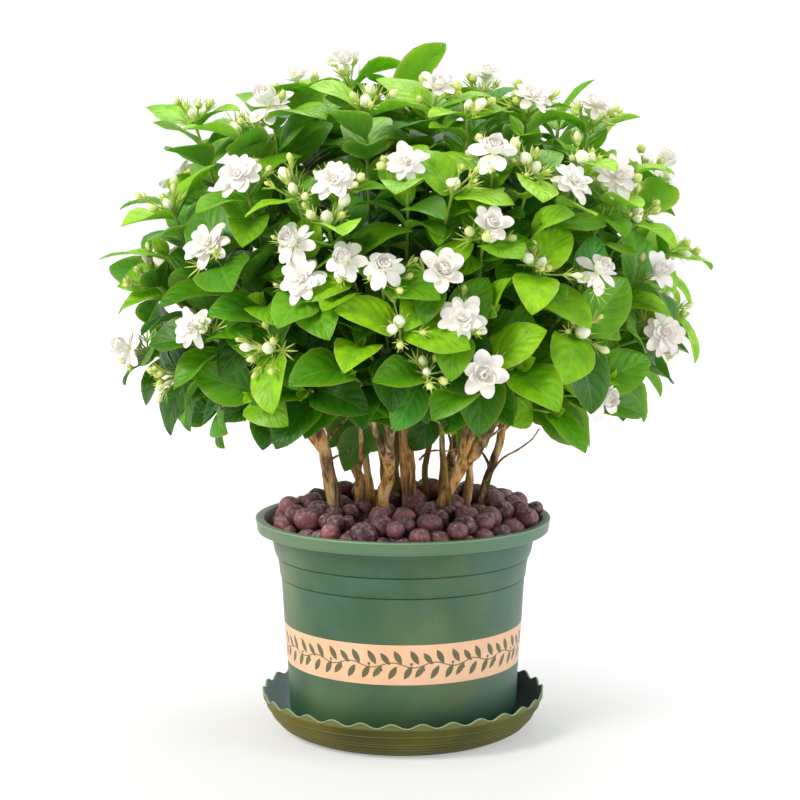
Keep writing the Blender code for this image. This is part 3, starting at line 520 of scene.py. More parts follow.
class Growing(Nodes):
    """A Geometry Nodes tree with named inputs, of which the first is its base geometry."""

    def __init__(self, name, inputs):
        super().__init__(bpy.data.node_groups.new(name, "GeometryNodeTree"))
        for label, kind in (("Base", "NodeSocketGeometry"), *inputs, ("Finish", "NodeSocketMaterial")):
            self.tree.interface.new_socket(label, in_out="INPUT", socket_type=kind)
        self.tree.interface.new_socket("Result", in_out="OUTPUT", socket_type="NodeSocketGeometry")
        self.given = self.node("NodeGroupInput").outputs

    def made(self, kind, settings=(), sockets=()):
        """What comes first out of a new node."""
        return self.node(kind, settings, sockets).outputs[0]

    def stored(self, name, kind):
        """The value of this kind that the geometry holds under a name."""
        return self.made("GeometryNodeInputNamedAttribute", {"data_type": kind}, {"Name": name})

    def end(self, geometry):
        """Ends the tree in plain mesh with the finish that was given."""
        plain = self.made("GeometryNodeRealizeInstances", (), {"Geometry": geometry})
        sockets = {"Geometry": plain, "Material": self.given["Finish"]}
        finished = self.made("GeometryNodeSetMaterial", (), sockets)
        self.node("NodeGroupOutput", (), {"Result": finished})
        return self.tree


def placing_tree():
    """Sets a shape at each point, with the form, turn and size stored in the point."""
    placing = Growing("set at points", [("Shapes", "NodeSocketCollection")])
    sockets = {"Collection": placing.given["Shapes"], "Separate Children": True, "Reset Children": True}
    shapes = placing.made("GeometryNodeCollectionInfo", (), sockets)
    sockets = {
        "Points": placing.given["Base"],
        "Instance": shapes,
        "Pick Instance": True,
        "Instance Index": placing.stored("form", "INT"),
        "Rotation": placing.stored("turn", "QUATERNION"),
        "Scale": placing.stored("size", "FLOAT_VECTOR"),
    }
    return placing.end(placing.made("GeometryNodeInstanceOnPoints", (), sockets))


PLACING = placing_tree()


def grown_from(name, mesh, tree, inputs, spent):
    """The plain mesh object that a tree makes of a mesh, without the values now spent."""
    base = add_object("base", mesh)
    modifier = base.modifiers.new("tree", "NODES")
    modifier.node_group = tree
    for item in tree.interface.items_tree:
        if item.name in inputs:
            modifier[item.identifier] = inputs[item.name]
    base.update_tag()
    bpy.context.view_layer.update()
    made = bpy.data.meshes.new_from_object(base.evaluated_get(bpy.context.evaluated_depsgraph_get()))
    made.name = name
    bpy.data.objects.remove(base)
    for key in spent:
        if key in made.attributes:
            made.attributes.remove(made.attributes[key])
    return add_object(name, made)


def shape_set(name, shapes):
    """A collection of shapes, each (points, faces, face-corner places or None)."""
    group = bpy.data.collections.new(name)
    for k, (points, faces, places) in enumerate(shapes):
        mesh = bpy.data.meshes.new(f"{name}_{k:02d}")
        mesh.from_pydata([tuple(point) for point in points], [], faces)
        if places:
            layer = mesh.uv_layers.new(name="UVMap")
            layer.data.foreach_set("uv", [number for place in places for number in place])
        mesh.shade_smooth()
        mesh.set_sharp_from_angle(angle=math.radians(75))
        group.objects.link(bpy.data.objects.new(mesh.name, mesh))
    return group


def set_out(name, shapes, places, finish):
    """One piece of shapes set at places, each (point, turn, size, form, tone, tint)."""
    mesh = bpy.data.meshes.new("places")
    mesh.from_pydata([tuple(place[0]) for place in places], [], [])
    sizes = [place[2] if hasattr(place[2], "__len__") else (place[2],) * 3 for place in places]
    for key, kind, slot, values in (
        ("turn", "QUATERNION", "value", [number for place in places for number in place[1]]),
        ("size", "FLOAT_VECTOR", "vector", [number for size in sizes for number in size]),
        ("form", "INT", "value", [place[3] for place in places]),
        ("tone", "FLOAT", "value", [place[4] for place in places]),
        ("tint", "FLOAT", "value", [place[5] for place in places]),
    ):
        mesh.attributes.new(key, kind, "POINT").data.foreach_set(slot, values)
    inputs = {"Shapes": shapes, "Finish": finish}
    return grown_from(name, mesh, PLACING, inputs, ("turn", "size", "form"))


def clear_set(shapes):
    """Removes a set of shapes after its last use."""
    for shape in list(shapes.objects):
        bpy.data.objects.remove(shape)
    bpy.data.collections.remove(shapes)


def pebble_form(seed):
    """A rough ball of 96 faces, a little flattened and dented."""
    form = bmesh.new()
    bmesh.ops.create_cube(form, size=2)
    bmesh.ops.subdivide_edges(form, edges=form.edges[:], cuts=3, use_grid_fill=True)
    chance = random.Random(seed)
    squash = Vector((1.0, chance.uniform(0.84, 0.98), chance.uniform(0.70, 0.92)))
    for vertex in form.verts:
        x, y, z = vertex.co
        ball = Vector((x, y, z)).normalized()
        dent = 1 + 0.10 * noise.noise(ball * 1.3 + Vector((seed * 7.1, 0, 0)))
        dent += 0.035 * noise.noise(ball * 3.7 + Vector((0, seed * 3.3, 0)))
        vertex.co = ball * squash * dent
    form.verts.index_update()
    points = [vertex.co.copy() for vertex in form.verts]
    faces = [tuple(vertex.index for vertex in face.verts) for face in form.faces]
    form.free()
    return points, faces, None


def settle_pebbles():
    """Balls pushed apart until they lie in the bed, clear of the pot's wall and the stems."""
    chance = np.random.default_rng(7)
    radii = chance.uniform(*PEBBLE_RADII, PEBBLES)
    angle = chance.uniform(0, 2 * math.pi, PEBBLES)
    reach = PEBBLE_REACH * np.sqrt(chance.uniform(0, 1, PEBBLES))
    spots = np.stack([reach * np.cos(angle), reach * np.sin(angle), np.full(PEBBLES, 0.0)], 1)
    spots[:, 2] = chance.uniform(PEBBLE_FLOOR, PEBBLE_HEAP_TOP, PEBBLES)
    stems = [[x, y, radius * STEM_SPREAD] for (x, y), _, radius in (*STEMS, *THIN_STEMS)]
    for _ in range(SETTLING_ROUNDS):
        apart = spots[:, None, :] - spots[None, :, :]
        gap = np.linalg.norm(apart, axis=2) + np.eye(PEBBLES)
        overlap = np.clip((radii[:, None] + radii[None, :]) * 0.93 - gap, 0, None)
        overlap[np.arange(PEBBLES), np.arange(PEBBLES)] = 0
        spots += (apart / gap[:, :, None] * overlap[:, :, None]).sum(1) * 0.22
        for x, y, radius in stems:
            arm = spots[:, :2] - np.array([x, y])
            near = np.linalg.norm(arm, axis=1)
            push = np.clip(radius + radii * 0.85 - near, 0, None)
            spots[:, :2] += arm / near[:, None] * push[:, None]
        out = np.linalg.norm(spots[:, :2], axis=1)
        top = PEBBLE_HEAP_TOP - (PEBBLE_HEAP_TOP - PEBBLE_EDGE_TOP) * (out / PEBBLE_REACH) ** 2
        spots[:, 2] -= 0.0001
        spots[:, 2] = np.clip(spots[:, 2], PEBBLE_FLOOR + radii * 0.7, top - radii * 0.85)
        wall = BED_RADIUS + (spots[:, 2] - BED_HEIGHT).clip(0, 0.015) * BED_FLARE - radii
        spots[:, :2] *= np.minimum(1, wall / np.maximum(out, 1e-6))[:, None]
    return spots, radii


pebble_finish = Finish("fired clay", Specular_IOR_Level=0.55)
pebble_tone = pebble_finish.own("tone")
pebble_tint = pebble_finish.own("tint")
pebble_cloud = pebble_finish.grain(170, 4, 0.6)
pores = pebble_finish.cells(1100)
dust = pebble_finish.grain(420, 4, 0.7)
pebble_finish.colour = pebble_finish.blend(pebble_tone, (60, 28, 34), (150, 82, 85))
pebble_finish.coat(pebble_tint.rise(0.4, 1.0) * 0.6, (92, 58, 74))
pebble_finish.coat(pebble_cloud.rise(0.46, 0.62) * 0.55, (158, 104, 106))
pebble_finish.coat(pores.rise(0.26, 0.08) * 0.6, (50, 24, 28))
# Pale dust in patches, with a painted highlight on the upward faces of the pebbles.
upright = pebble_finish.split(pebble_finish.node("ShaderNodeNewGeometry").outputs["Normal"])[2]
dust_and_top_highlight = dust.rise(0.56, 0.74) * 0.5 + upright.rise(0.3, 0.9) * dust.rise(0.38, 0.66) * 0.5
pebble_finish.coat(dust_and_top_highlight, (208, 188, 192))
pebble_relief = pebble_cloud * 0.5 + pores.rise(0.0, 0.3) * 0.5
pebble_finish.done(0.24 + 0.36 * dust, pebble_relief, 0.0006)

pebble_shapes = shape_set("pebble", [pebble_form(k) for k in range(PEBBLE_FORMS)])
chance = random.Random(21)
pebble_places = []
for spot, radius in zip(*settle_pebbles()):
    tumbled = Euler((chance.uniform(-0.5, 0.5), chance.uniform(-0.5, 0.5), chance.uniform(0, 6.3)))
    pebble_places.append((
        spot, tumbled.to_quaternion(), float(radius), chance.randrange(PEBBLE_FORMS),
        chance.random() ** 1.4, chance.random(),
    ))
pebbles = set_out("pebbles_dressed", pebble_shapes, pebble_places, pebble_finish.material)
clear_set(pebble_shapes)
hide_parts("pebbles")
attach(pebbles, "root")


# How the bush grows: eight stems fork into branches, and each branch carries green shoots
# that end on a broad dome, in a flower, in buds or in leaves. The shoots in front end where
# they are seen. Each next piece is tried for room among those already there.

UP = Vector((0, 0, 1))
SKEW = Vector((0.31, 0.95, 0.1))
GOLDEN_ANGLE = math.pi * (3 - math.sqrt(5))
SEAT_GAP = 0.0003
STEM_FOOT_HEIGHT = 0.1050
STEM_STRAIGHT_TO = 0.1800
REACH_SPREAD = 1.42
STEM_SIDES = 5
BRANCH_SHARE = 0.62
BRANCH_RADIUS = 0.0021
SHOOT_RADIUS = 0.0013
SHOOTS_TO_A_BRANCH = 4.5
NODE_LENGTH = 0.0024
FOOT_OFFSET = 0.0007
FOOT_RADIUS = 0.0012
CROWN_MIDDLE = 0.340
CROWN_CENTRE = Vector((0, 0, CROWN_MIDDLE))
CROWN_REACH = 0.212
CROWN_RISE = 0.167
CROWN_DROP = 0.103
CROWN_SQUARENESS = 3.0
HEAD_DEPTHS = {"flower": 0.0155, "buds": 0.0100, "leaves": 0.0200}
VIEWED_FROM = Vector((0, -1.6, 0.46))
SIGHT_STEPS = 80
SIGHT_SHARE = 0.16
FLOWERS_IN_FRONT = (
    (-0.150, 0.379), (-0.161, 0.314), (-0.084, 0.380), (-0.077, 0.352), (-0.053, 0.427),
    (-0.045, 0.369), (-0.014, 0.361), (0.002, 0.442), (0.070, 0.450), (0.066, 0.392),
    (0.029, 0.357), (0.045, 0.323), (0.061, 0.280), (0.155, 0.260), (0.199, 0.310),
    (0.193, 0.359), (0.150, 0.359), (0.128, 0.426), (0.163, 0.429), (0.098, 0.491),
    (0.146, 0.483), (-0.081, 0.502), (-0.102, 0.485), (-0.126, 0.431), (-0.210, 0.298),
    (0.025, 0.498), (-0.043, 0.514),
)
BUDS_IN_FRONT = (
    (-0.183, 0.413), (-0.162, 0.481), (-0.130, 0.470), (-0.086, 0.425), (-0.059, 0.402),
    (0.041, 0.429), (0.103, 0.440), (0.143, 0.444), (0.183, 0.406), (-0.029, 0.491),
    (0.051, 0.489), (-0.107, 0.299), (-0.004, 0.322), (0.018, 0.280), (0.141, 0.312),
    (0.108, 0.367), (-0.201, 0.355), (-0.187, 0.274), (0.209, 0.335), (0.209, 0.382),
)
LEAVES_IN_FRONT = (
    (-0.193, 0.386), (-0.167, 0.252), (-0.127, 0.258), (-0.083, 0.262), (0.127, 0.250),
    (0.169, 0.276), (0.182, 0.448), (0.200, 0.423), (-0.046, 0.284), (0.099, 0.288),
    (0.004, 0.512), (0.109, 0.406), (-0.036, 0.308), (0.075, 0.337), (-0.116, 0.343),
)
TIP_SPACING = 0.061
OUTWARDS = 0.75
LIFT_ABOVE = 0.55
LIFT_BELOW = 0.25
SHOOT_JITTER = 0.18
DIRECTIONS_TRIED = 420
HIGHEST_SHOOT = 0.98
SHOOTS_DOWN = 1.55
LEAF_LENGTH = 0.053
LEAF_WIDTH_SHARE = 0.66
LEAF_THICKNESS = 0.0013
LEAF_SHAPES = ((38, 16, 0.10), (62, 10, 0.06), (20, 24, 0.13), (80, 14, 0.08), (46, 6, 0.16))
LEAF_OUTLINE = (0.62, 0.72, 0.4056)
LEAF_WAVES = 7.5
LEAF_STATIONS = (0.22, 0.62)
LEAVES_WANTED = 232
LEAF_LIFT = 0.08
LEAF_HANG = 0.15
LEAF_SWAY = 0.20
LEAF_ROLL = 0.34
LEAF_FACES_UP = 0.50
BARE_BELOW = 0.257
BARE_HALF_WIDTH = 0.095
SKIRT_HEIGHT = 0.222
FIRST_PAIR = 0.0068
PAIR_SPACING = 0.031
CLEARANCE = 0.0008
BLOOM_RADIUS = 0.0178
STALK_LENGTH = 0.0155
BUD_LENGTH = 0.0115
BUD_WIDTH_SHARE = 0.78


class Surface:
    """A closed surface built up from rings of points. Each ring runs anticlockwise as seen
    from where the surface goes next."""

    def __init__(self):
        self.points = []
        self.faces = []

    def ring(self, points):
        first = len(self.points)
        self.points += [Vector(point) for point in points]
        return list(range(first, len(self.points)))

    def join(self, low, high, open_sides=()):
        """Joins two rings of any length. An open side is left for a limb to grow from."""
        i = j = 0
        while i < len(low) or j < len(high):
            step_low = (i + 1) / len(low) if len(low) > 1 else 9
            step_high = (j + 1) / len(high) if len(high) > 1 else 9
            if min(step_low, step_high) > 1:
                break
            a, b = low[i % len(low)], high[j % len(high)]
            if step_low <= step_high:
                face = (a, low[(i + 1) % len(low)], b)
                side = i
                i += 1
            else:
                face = (a, high[(j + 1) % len(high)], b)
                side = j
                j += 1
            if side not in open_sides:
                self.faces.append(face)

    def cap_start(self, ring):
        self.faces += [(ring[0], ring[k + 1], ring[k]) for k in range(1, len(ring) - 1)]

    def cap_end(self, ring):
        self.faces += [(ring[0], ring[k], ring[k + 1]) for k in range(1, len(ring) - 1)]

    def blade(self, low, high):
        """Joins two four-cornered sections, with both faces of the blade split alike."""
        for k in range(4):
            n = (k + 1) % 4
            if k % 2 == 0:
                self.faces += [(low[k], low[n], high[n]), (low[k], high[n], high[k])]
            else:
                self.faces += [(low[k], low[n], high[k]), (low[n], high[n], high[k])]


def stitched(rings):
    """The closed surface through these rings of points."""
    surface = Surface()
    numbers = [surface.ring(ring) for ring in rings]
    surface.cap_start(numbers[0])
    for low, high in zip(numbers, numbers[1:]):
        surface.join(low, high)
    surface.cap_end(numbers[-1])
    return surface.points, surface.faces


def axes_along(direction, towards=UP):
    """Columns: across, along the direction, and out, which leans towards the given vector."""
    along = direction.normalized()
    across = along.cross(towards)
    if across.length < 1e-4:
        across = along.cross(Vector((1, 0, 0)))
    across.normalize()
    return Matrix((across, along, across.cross(along))).transposed()


def round_about(basis, angle):
    """The direction at this angle round the basis's along axis."""
    return basis.col[2] * math.cos(angle) + basis.col[0] * math.sin(angle)


def tilted(axis, side, angle):
    """The direction at this angle from the axis, towards a side."""
    return side * math.sin(angle) + axis * math.cos(angle)


def ring_round(middle, basis, radius, sides):
    """A ring of points round the basis's along axis."""
    angles = [2 * math.pi * k / sides for k in range(sides)]
    return [middle + round_about(basis, angle) * radius for angle in angles]


def carried_basis(basis, direction):
    """The basis turned as little as possible to run along the direction."""
    out = basis.col[2] - basis.col[2].dot(direction) * direction
    return axes_along(direction, out)


def tube(path, radii, sides):
    """A closed tube along the path, with a radius for each point."""
    basis = axes_along(path[1] - path[0], SKEW)
    rings = []
    for k, (centre, radius) in enumerate(zip(path, radii)):
        direction = (path[min(k + 1, len(path) - 1)] - path[max(k - 1, 0)]).normalized()
        basis = carried_basis(basis, direction)
        rings.append(ring_round(centre, basis, radius, sides))
    return stitched(rings)


class Room:
    """What has been placed so far, so that the next piece is set clear of it."""

    def __init__(self):
        self.trees = []
        self.owners = []
        self.lows = np.zeros((0, 3))
        self.highs = np.zeros((0, 3))

    def add(self, shape, owner):
        points, faces = shape
        corners = np.array(points)
        self.trees.append(BVHTree.FromPolygons(points, faces))
        self.owners.append(owner)
        self.lows = np.vstack([self.lows, corners.min(0)])
        self.highs = np.vstack([self.highs, corners.max(0)])

    def is_clear(self, shape, but=()):
        """True if the shape crosses nothing here, apart from what the owners in but hold."""
        points, faces = shape
        corners = np.array(points)
        near = (self.lows <= corners.max(0)).all(1) & (self.highs >= corners.min(0)).all(1)
        tree = None
        for k in np.flatnonzero(near):
            if self.owners[k] in but:
                continue
            tree = tree or BVHTree.FromPolygons(points, faces)
            if tree.overlap(self.trees[k]):
                return False
        return True


class Shoot:
    """One green shoot: its tip, the way it grows there, and what it ends in."""

    def __init__(self, head, ends_in, chance):
        away = (head - CROWN_CENTRE).normalized()
        lift = LIFT_ABOVE if head.z > CROWN_MIDDLE else LIFT_BELOW
        jitter = Vector([chance.uniform(-SHOOT_JITTER, SHOOT_JITTER) for _ in range(3)])
        self.ends_in = ends_in
        self.away = away
        self.axis = (away * OUTWARDS + UP * lift + jitter).normalized()
        self.tip = head - self.axis * HEAD_DEPTHS[ends_in]
        self.size = chance.uniform(0.86, 1.14)
        self.turn = chance.uniform(0, math.pi)
        self.seed = chance.randrange(10 ** 6)
        self.path = []
        self.leaves = []
        self.buds = []

    def place(self, below):
        """The point this far below the tip, and the direction of growth there."""
        left = below
        for high, low in zip(self.path[::-1], self.path[-2::-1]):
            span = (high - low).length
            if left <= span:
                return high.lerp(low, left / span), (high - low).normalized()
            left -= span
        return None, None


def crown_reach(direction):
    """Distance from the crown's middle to its surface in this direction."""
    rise = CROWN_RISE if direction.z > 0 else CROWN_DROP
    level = math.hypot(direction.x, direction.y) / CROWN_REACH
    power = CROWN_SQUARENESS
    return (level ** power + (abs(direction.z) / rise) ** power) ** (-1 / power)


def on_crown(across, up):
    """The crown's surface in front of this point of the upright plane through the axis."""
    aim = Vector((across, 0, up))
    for step in range(SIGHT_STEPS):
        point = aim.lerp(VIEWED_FROM, SIGHT_SHARE * (1 - step / (SIGHT_STEPS - 1)))
        arm = point - CROWN_CENTRE
        if arm.length <= crown_reach(arm.normalized()):
            return point
    return aim


def crown_shoots():
    """Every shoot: those seen in front, then the rest, spread evenly round the dome."""
    chance = random.Random(5)
    shoots = []
    for places, ends_in in (
        (FLOWERS_IN_FRONT, "flower"),
        (BUDS_IN_FRONT, "buds"),
        (LEAVES_IN_FRONT, "leaves"),
    ):
        shoots += [Shoot(on_crown(*place), ends_in, chance) for place in places]
    for k in range(DIRECTIONS_TRIED):
        height = HIGHEST_SHOOT - SHOOTS_DOWN * (k + 0.5) / DIRECTIONS_TRIED
        level = math.sqrt(1 - height ** 2)
        turn = k * GOLDEN_ANGLE
        direction = Vector((level * math.cos(turn), level * math.sin(turn), height))
        head = CROWN_CENTRE + direction * crown_reach(direction) * chance.uniform(0.93, 1.0)
        if all((head - other.tip).length > TIP_SPACING for other in shoots):
            ends_in = chance.choice(("flower", "flower", "buds", "leaves", "leaves"))
            shoots.append(Shoot(head, ends_in, chance))
    return shoots


def bent(start, leave, end, arrive, count):
    """Points on a smooth curve that leaves and arrives in the given directions."""
    pull = (end - start).length * 0.38
    return interpolate_bezier(start, start + leave * pull, end - arrive * pull, end, count)


def along_path(path, share):
    """The point this share of the way along the path's points."""
    at = share * (len(path) - 1)
    k = min(int(at), len(path) - 2)
    return path[k].lerp(path[k + 1], at - k)


def middle_of(group):
    """The middle of the tips of a group of shoots."""
    return sum((shoot.tip for shoot in group), Vector()) / len(group)


def grow_wood(number, shoots, room):
    """Places one stem and its branches. Returns the line and radii of each limb of wood, and
    each branch's path with the shoots that it carries."""
    (x, y), fork, radius = STEMS[number]
    fork = Vector(fork)
    ground = Vector((x, y, STEM_STRAIGHT_TO))
    lean = ((fork - ground).normalized() + UP).normalized()
    trunk = [Vector((x, y, STEM_FOOT_HEIGHT)), *bent(ground, UP, fork, lean, 3)]
    around = sorted(shoots, key=lambda s: math.atan2(s.tip.y - fork.y, s.tip.x - fork.x))
    count = max(1, round(len(around) / SHOOTS_TO_A_BRANCH))
    groups = [[around[k] for k in part] for part in np.array_split(np.arange(len(around)), count)]
    groups.sort(key=lambda group: -lean.dot((middle_of(group) - fork).normalized()))
    limbs = []
    branches = []
    for rank, group in enumerate(groups):
        target = middle_of(group)
        knot = fork.lerp(target, 0.55)
        arrive = (target - knot).normalized()
        start = along_path(trunk, 1 - 0.07 * rank)
        leave = lean if rank == 0 else (lean + arrive).normalized()
        branch = bent(start, leave, knot, arrive, 3)
        if rank == 0:
            spread = radius * STEM_SPREAD
            radii = [spread, spread, radius * 1.05, radius, BRANCH_RADIUS * 1.2, BRANCH_RADIUS]
            limbs.append(([*trunk, *branch[1:]], radii))
            room.add(tube([*trunk, *branch[1:]], radii, STEM_SIDES), ("wood", number))
        else:
            radii = [radius * BRANCH_SHARE, BRANCH_RADIUS * 1.1, BRANCH_RADIUS]
            limbs.append((branch, radii))
            room.add(tube(branch, radii, 4), ("wood", number))
        branches.append((branch, group))
    return limbs, branches


def grow_shoots(number, branches, room):
    """Sets the paths of the green shoots on one stem's branches."""
    own = [("wood", number)]
    for branch, group in branches:
        heading = (branch[-1] - branch[-2]).normalized()
        ranked = sorted(group, key=lambda s: -heading.dot((s.tip - branch[-1]).normalized()))
        for rank, shoot in enumerate(ranked):
            for attempt in range(12):
                start = along_path(branch, max(0.97 - 0.16 * rank - 0.04 * attempt, 0.1))
                straight = (shoot.tip - start).normalized()
                leave = (straight + heading * (0.9 - 0.14 * attempt)).normalized()
                path = bent(start, leave, shoot.tip, shoot.axis, 3)
                if room.is_clear(tube(path, [SHOOT_RADIUS + CLEARANCE] * 3, 3), own):
                    shoot.path = path
                    room.add(shoot_shape(shoot), ("shoot", shoot.seed))
                    own.append(("shoot", shoot.seed))
                    break


def bud_rings(base, basis, stalk, length, swell=0.0):
    """Rings of points round a bud that stands on a stalk."""
    wide = length * BUD_WIDTH_SHARE / 2
    along = basis.col[1]
    return [
        ring_round(base + along * stalk, basis, wide * 0.36 + swell, 3),
        ring_round(base + along * (stalk + 0.48 * length), basis, wide + swell, 4),
        [base + along * (stalk + length + swell)],
    ]


def bud_shape(bud, swell=0.0):
    """A plain bud on its stalk, to try it for room."""
    base, basis, stalk, length = bud
    foot = ring_round(base + basis.col[1] * FOOT_OFFSET, basis, FOOT_RADIUS + swell, 3)
    return stitched([foot, *bud_rings(base, basis, stalk, length, swell)])


def buds_at(shoot, base, axis, count, chance):
    """Up to two opposite buds that spread from a point of an axis."""
    around = axes_along(axis)
    buds = []
    for k in range(count):
        angle = shoot.turn + math.pi * k + chance.uniform(-0.4, 0.4)
        direction = tilted(axis, round_about(around, angle), chance.uniform(0.55, 0.95))
        length = BUD_LENGTH * chance.uniform(0.68, 1.25)
        buds.append((base, axes_along(direction, axis), chance.uniform(0.007, 0.013), length))
    return buds


class Flower:
    """An open flower on its stalk, which stands on the end of a shoot."""

    def __init__(self, shoot, chance, attempt):
        view = (VIEWED_FROM - shoot.tip).normalized()
        turned_to_front = 0.45 if shoot.away.y < 0.2 else 0.0
        jitter = Vector([chance.uniform(-0.22, 0.22) for _ in range(3)])
        self.facing = (shoot.axis + shoot.away * 0.4 + view * turned_to_front + jitter).normalized()
        self.radius = BLOOM_RADIUS * shoot.size * (1 - 0.02 * attempt)
        self.stalk = STALK_LENGTH * chance.uniform(0.9, 1.15) + 0.0004 * attempt
        self.foot = shoot.tip + shoot.axis * SEAT_GAP
        self.centre = self.foot + (shoot.axis * 0.6 + self.facing * 0.4) * self.stalk
        self.foot_basis = axes_along(shoot.axis)
        self.basis = axes_along(self.facing)
        self.seed = shoot.seed
        self.node = 0.30 * self.stalk
        self.buds = buds_at(shoot, self.foot + shoot.axis * self.node, shoot.axis, 2, chance)

    def spot(self, angle, reach, lift, swell=0.0):
        """A point of the flower, in shares of its radius from its centre."""
        level = round_about(self.basis, angle) * (reach * self.radius + swell)
        return self.centre + level + self.basis.col[1] * lift * self.radius

    def shape(self, swell=0.0):
        """The plain flower and its buds as one closed surface, to try it for room."""
        chance = random.Random(self.seed)
        turns = [2 * math.pi * k / 5 for k in range(5)]
        outer = []
        for a in turns:
            long, lift = chance.uniform(0.90, 1.04), chance.uniform(0.02, 0.30)
            outer += [self.spot(a - 0.30, long, lift, swell), self.spot(a + 0.30, long, lift, swell)]
            outer.append(self.spot(a + 0.628, 0.52, -0.02, swell))
        inner = []
        for a in turns:
            inner.append(self.spot(a + 0.1, 0.36, 0.30))
            inner.append(self.spot(a + 0.628, chance.uniform(0.60, 0.72), chance.uniform(0.42, 0.58)))
        surface = Surface()
        below = surface.ring(ring_round(self.foot, self.foot_basis, SHOOT_RADIUS + swell, 3))
        surface.cap_start(below)
        if self.buds and not swell:
            below = grow_limbs(
                surface, below, self.foot_basis, self.foot + self.foot_basis.col[1] * self.node,
                [(bud[1].col[1], bud_rings(*bud)) for bud in self.buds],
            )
        for ring in (
            [self.spot(a, 0.14, -0.12, swell) for a in turns],
            outer[-1:] + outer[:-1],
            [self.spot(a - 0.1, 0.30, 0.10) for a in turns],
            inner,
            [self.spot(0, 0, 0.50)],
        ):
            above = surface.ring(ring)
            surface.join(below, above)
            below = above
        return surface.points, surface.faces


def grow_limbs(surface, below, basis, middle, limbs):
    """Carries a three-sided shoot past a node, with a bud on up to two of its sides."""
    along = basis.col[1] * NODE_LENGTH / 2
    lower = surface.ring(ring_round(middle - along, basis, SHOOT_RADIUS, 3))
    upper = surface.ring(ring_round(middle + along, basis, SHOOT_RADIUS, 3))
    surface.join(below, lower)
    normals = [round_about(basis, 2 * math.pi * (k + 0.5) / 3) for k in range(3)]
    taken = []
    for direction, rings in limbs:
        side = max((k for k in range(3) if k not in taken), key=lambda k: normals[k].dot(direction))
        taken.append(side)
        n = (side + 1) % 3
        hole = [lower[side], lower[n], upper[n], upper[side]]
        nearest = [rings[0][i * len(rings[0]) // 4] for i in range(4)]
        shift = min(range(4), key=lambda s: sum(
            (surface.points[hole[(i + s) % 4]] - point).length for i, point in enumerate(nearest)
        ))
        previous = hole[shift:] + hole[:shift]
        for ring in rings:
            following = surface.ring(ring)
            surface.join(previous, following)
            previous = following
    surface.join(lower, upper, taken)
    return upper


def flower_spray(shoot, room):
    """A flower with its buds, set clear of what is there, or None."""
    own = (("shoot", shoot.seed),)
    for attempt in range(16):
        chance = random.Random(shoot.seed + attempt)
        flower = Flower(shoot, chance, attempt)
        buds = flower.buds
        flower.buds = []
        if not room.is_clear(flower.shape(CLEARANCE), own) or not room.is_clear(flower.shape()):
            continue
        bloom = BVHTree.FromPolygons(*flower.shape(CLEARANCE / 2))
        for bud in buds:
            points, faces = bud_shape(bud, CLEARANCE)
            head = BVHTree.FromPolygons(points, [face for face in faces if max(face) > 5])
            if room.is_clear((points, faces), own) and not head.overlap(bloom):
                flower.buds.append(bud)
        return flower
    return None


def bud_cluster(shoot, room):
    """Sets the buds that stand round a shoot's tip, clear of what is there."""
    chance = random.Random(shoot.seed)
    own = (("shoot", shoot.seed),)
    base = shoot.tip - shoot.axis * NODE_LENGTH
    for bud in buds_at(shoot, base, shoot.axis, chance.choice((1, 2, 2, 2)), chance):
        if room.is_clear(bud_shape(bud, CLEARANCE), own):
            room.add(bud_shape(bud), ("bud", shoot.seed))
            shoot.buds.append(bud)


def outline(t, foot, tip, peak):
    """A blade's half-width here, as a share of its widest: a power at each end, and their peak."""
    return t ** foot * (1 - t) ** tip / peak


def folded(t, v, half, kind):
    """How far the fold and the wave raise this point of a blade this wide."""
    _, fold, wave = LEAF_SHAPES[kind]
    edge = abs(v)
    rise = half * edge * math.tan(math.radians(fold))
    return rise + wave * half * edge * math.sin(LEAF_WAVES * t + (1.3 if v > 0 else 3.4) + kind)


def leaf_point(t, v, length, kind):
    """A point of the blade: t from the shoot to the tip, v from one edge to the other."""
    arch, fold, _ = LEAF_SHAPES[kind]
    arch = math.radians(arch)
    lean = arch * 0.40
    along = (math.sin(lean) - math.sin(lean - arch * t)) / arch * length
    rise = (math.cos(lean - arch * t) - math.cos(lean)) / arch * length
    half = length * LEAF_WIDTH_SHARE / 2 * outline(t, *LEAF_OUTLINE)
    rise += folded(t, v, half, kind)
    return Vector((v * half * math.cos(math.radians(fold)), along, rise))


def leaf_rings(base, basis, length, kind, swell=0.0):
    """The plain blade's cross-sections from the shoot outwards, and its tip."""
    deep = Vector((0, 0, LEAF_THICKNESS / 2 + swell))
    wide = Vector((swell, 0, 0))
    rings = []
    for t in LEAF_STATIONS:
        left, middle, right = (leaf_point(t, v, length, kind) for v in (-1, 0, 1))
        corners = (left - wide, middle + deep, right + wide, middle - deep)
        rings.append([base + basis @ corner for corner in corners])
    rings.append([base + basis @ leaf_point(1, 0, length + swell, kind)])
    return rings


def leaf_shape(leaf, swell=0.0):
    """A plain leaf, closed where it leaves the shoot, to try it for room."""
    surface = Surface()
    base, basis = leaf[:2]
    foot = base + basis.col[1] * FOOT_OFFSET
    corners = (-basis.col[0], basis.col[2], basis.col[0], -basis.col[2])
    previous = surface.ring([foot + corner * (FOOT_RADIUS + swell) for corner in corners])
    surface.cap_start(previous)
    for ring in leaf_rings(*leaf, swell):
        following = surface.ring(ring)
        if len(ring) == 4:
            surface.blade(previous, following)
        else:
            surface.join(previous, following)
        previous = following
    return surface.points, surface.faces


def hangs_too_low(leaf, middle=0.0, skirt=SKIRT_HEIGHT):
    """True if the leaf's middle or tip hangs among the bare stems."""
    base, basis, length, kind = leaf
    for t in (0.5, 1):
        point = base + basis @ leaf_point(t, 0, length, kind)
        share = min(max((abs(point.x - middle) - BARE_HALF_WIDTH + middle) / 0.05, 0), 1)
        if point.z < BARE_BELOW - (BARE_BELOW - skirt) * share:
            return True
    return False


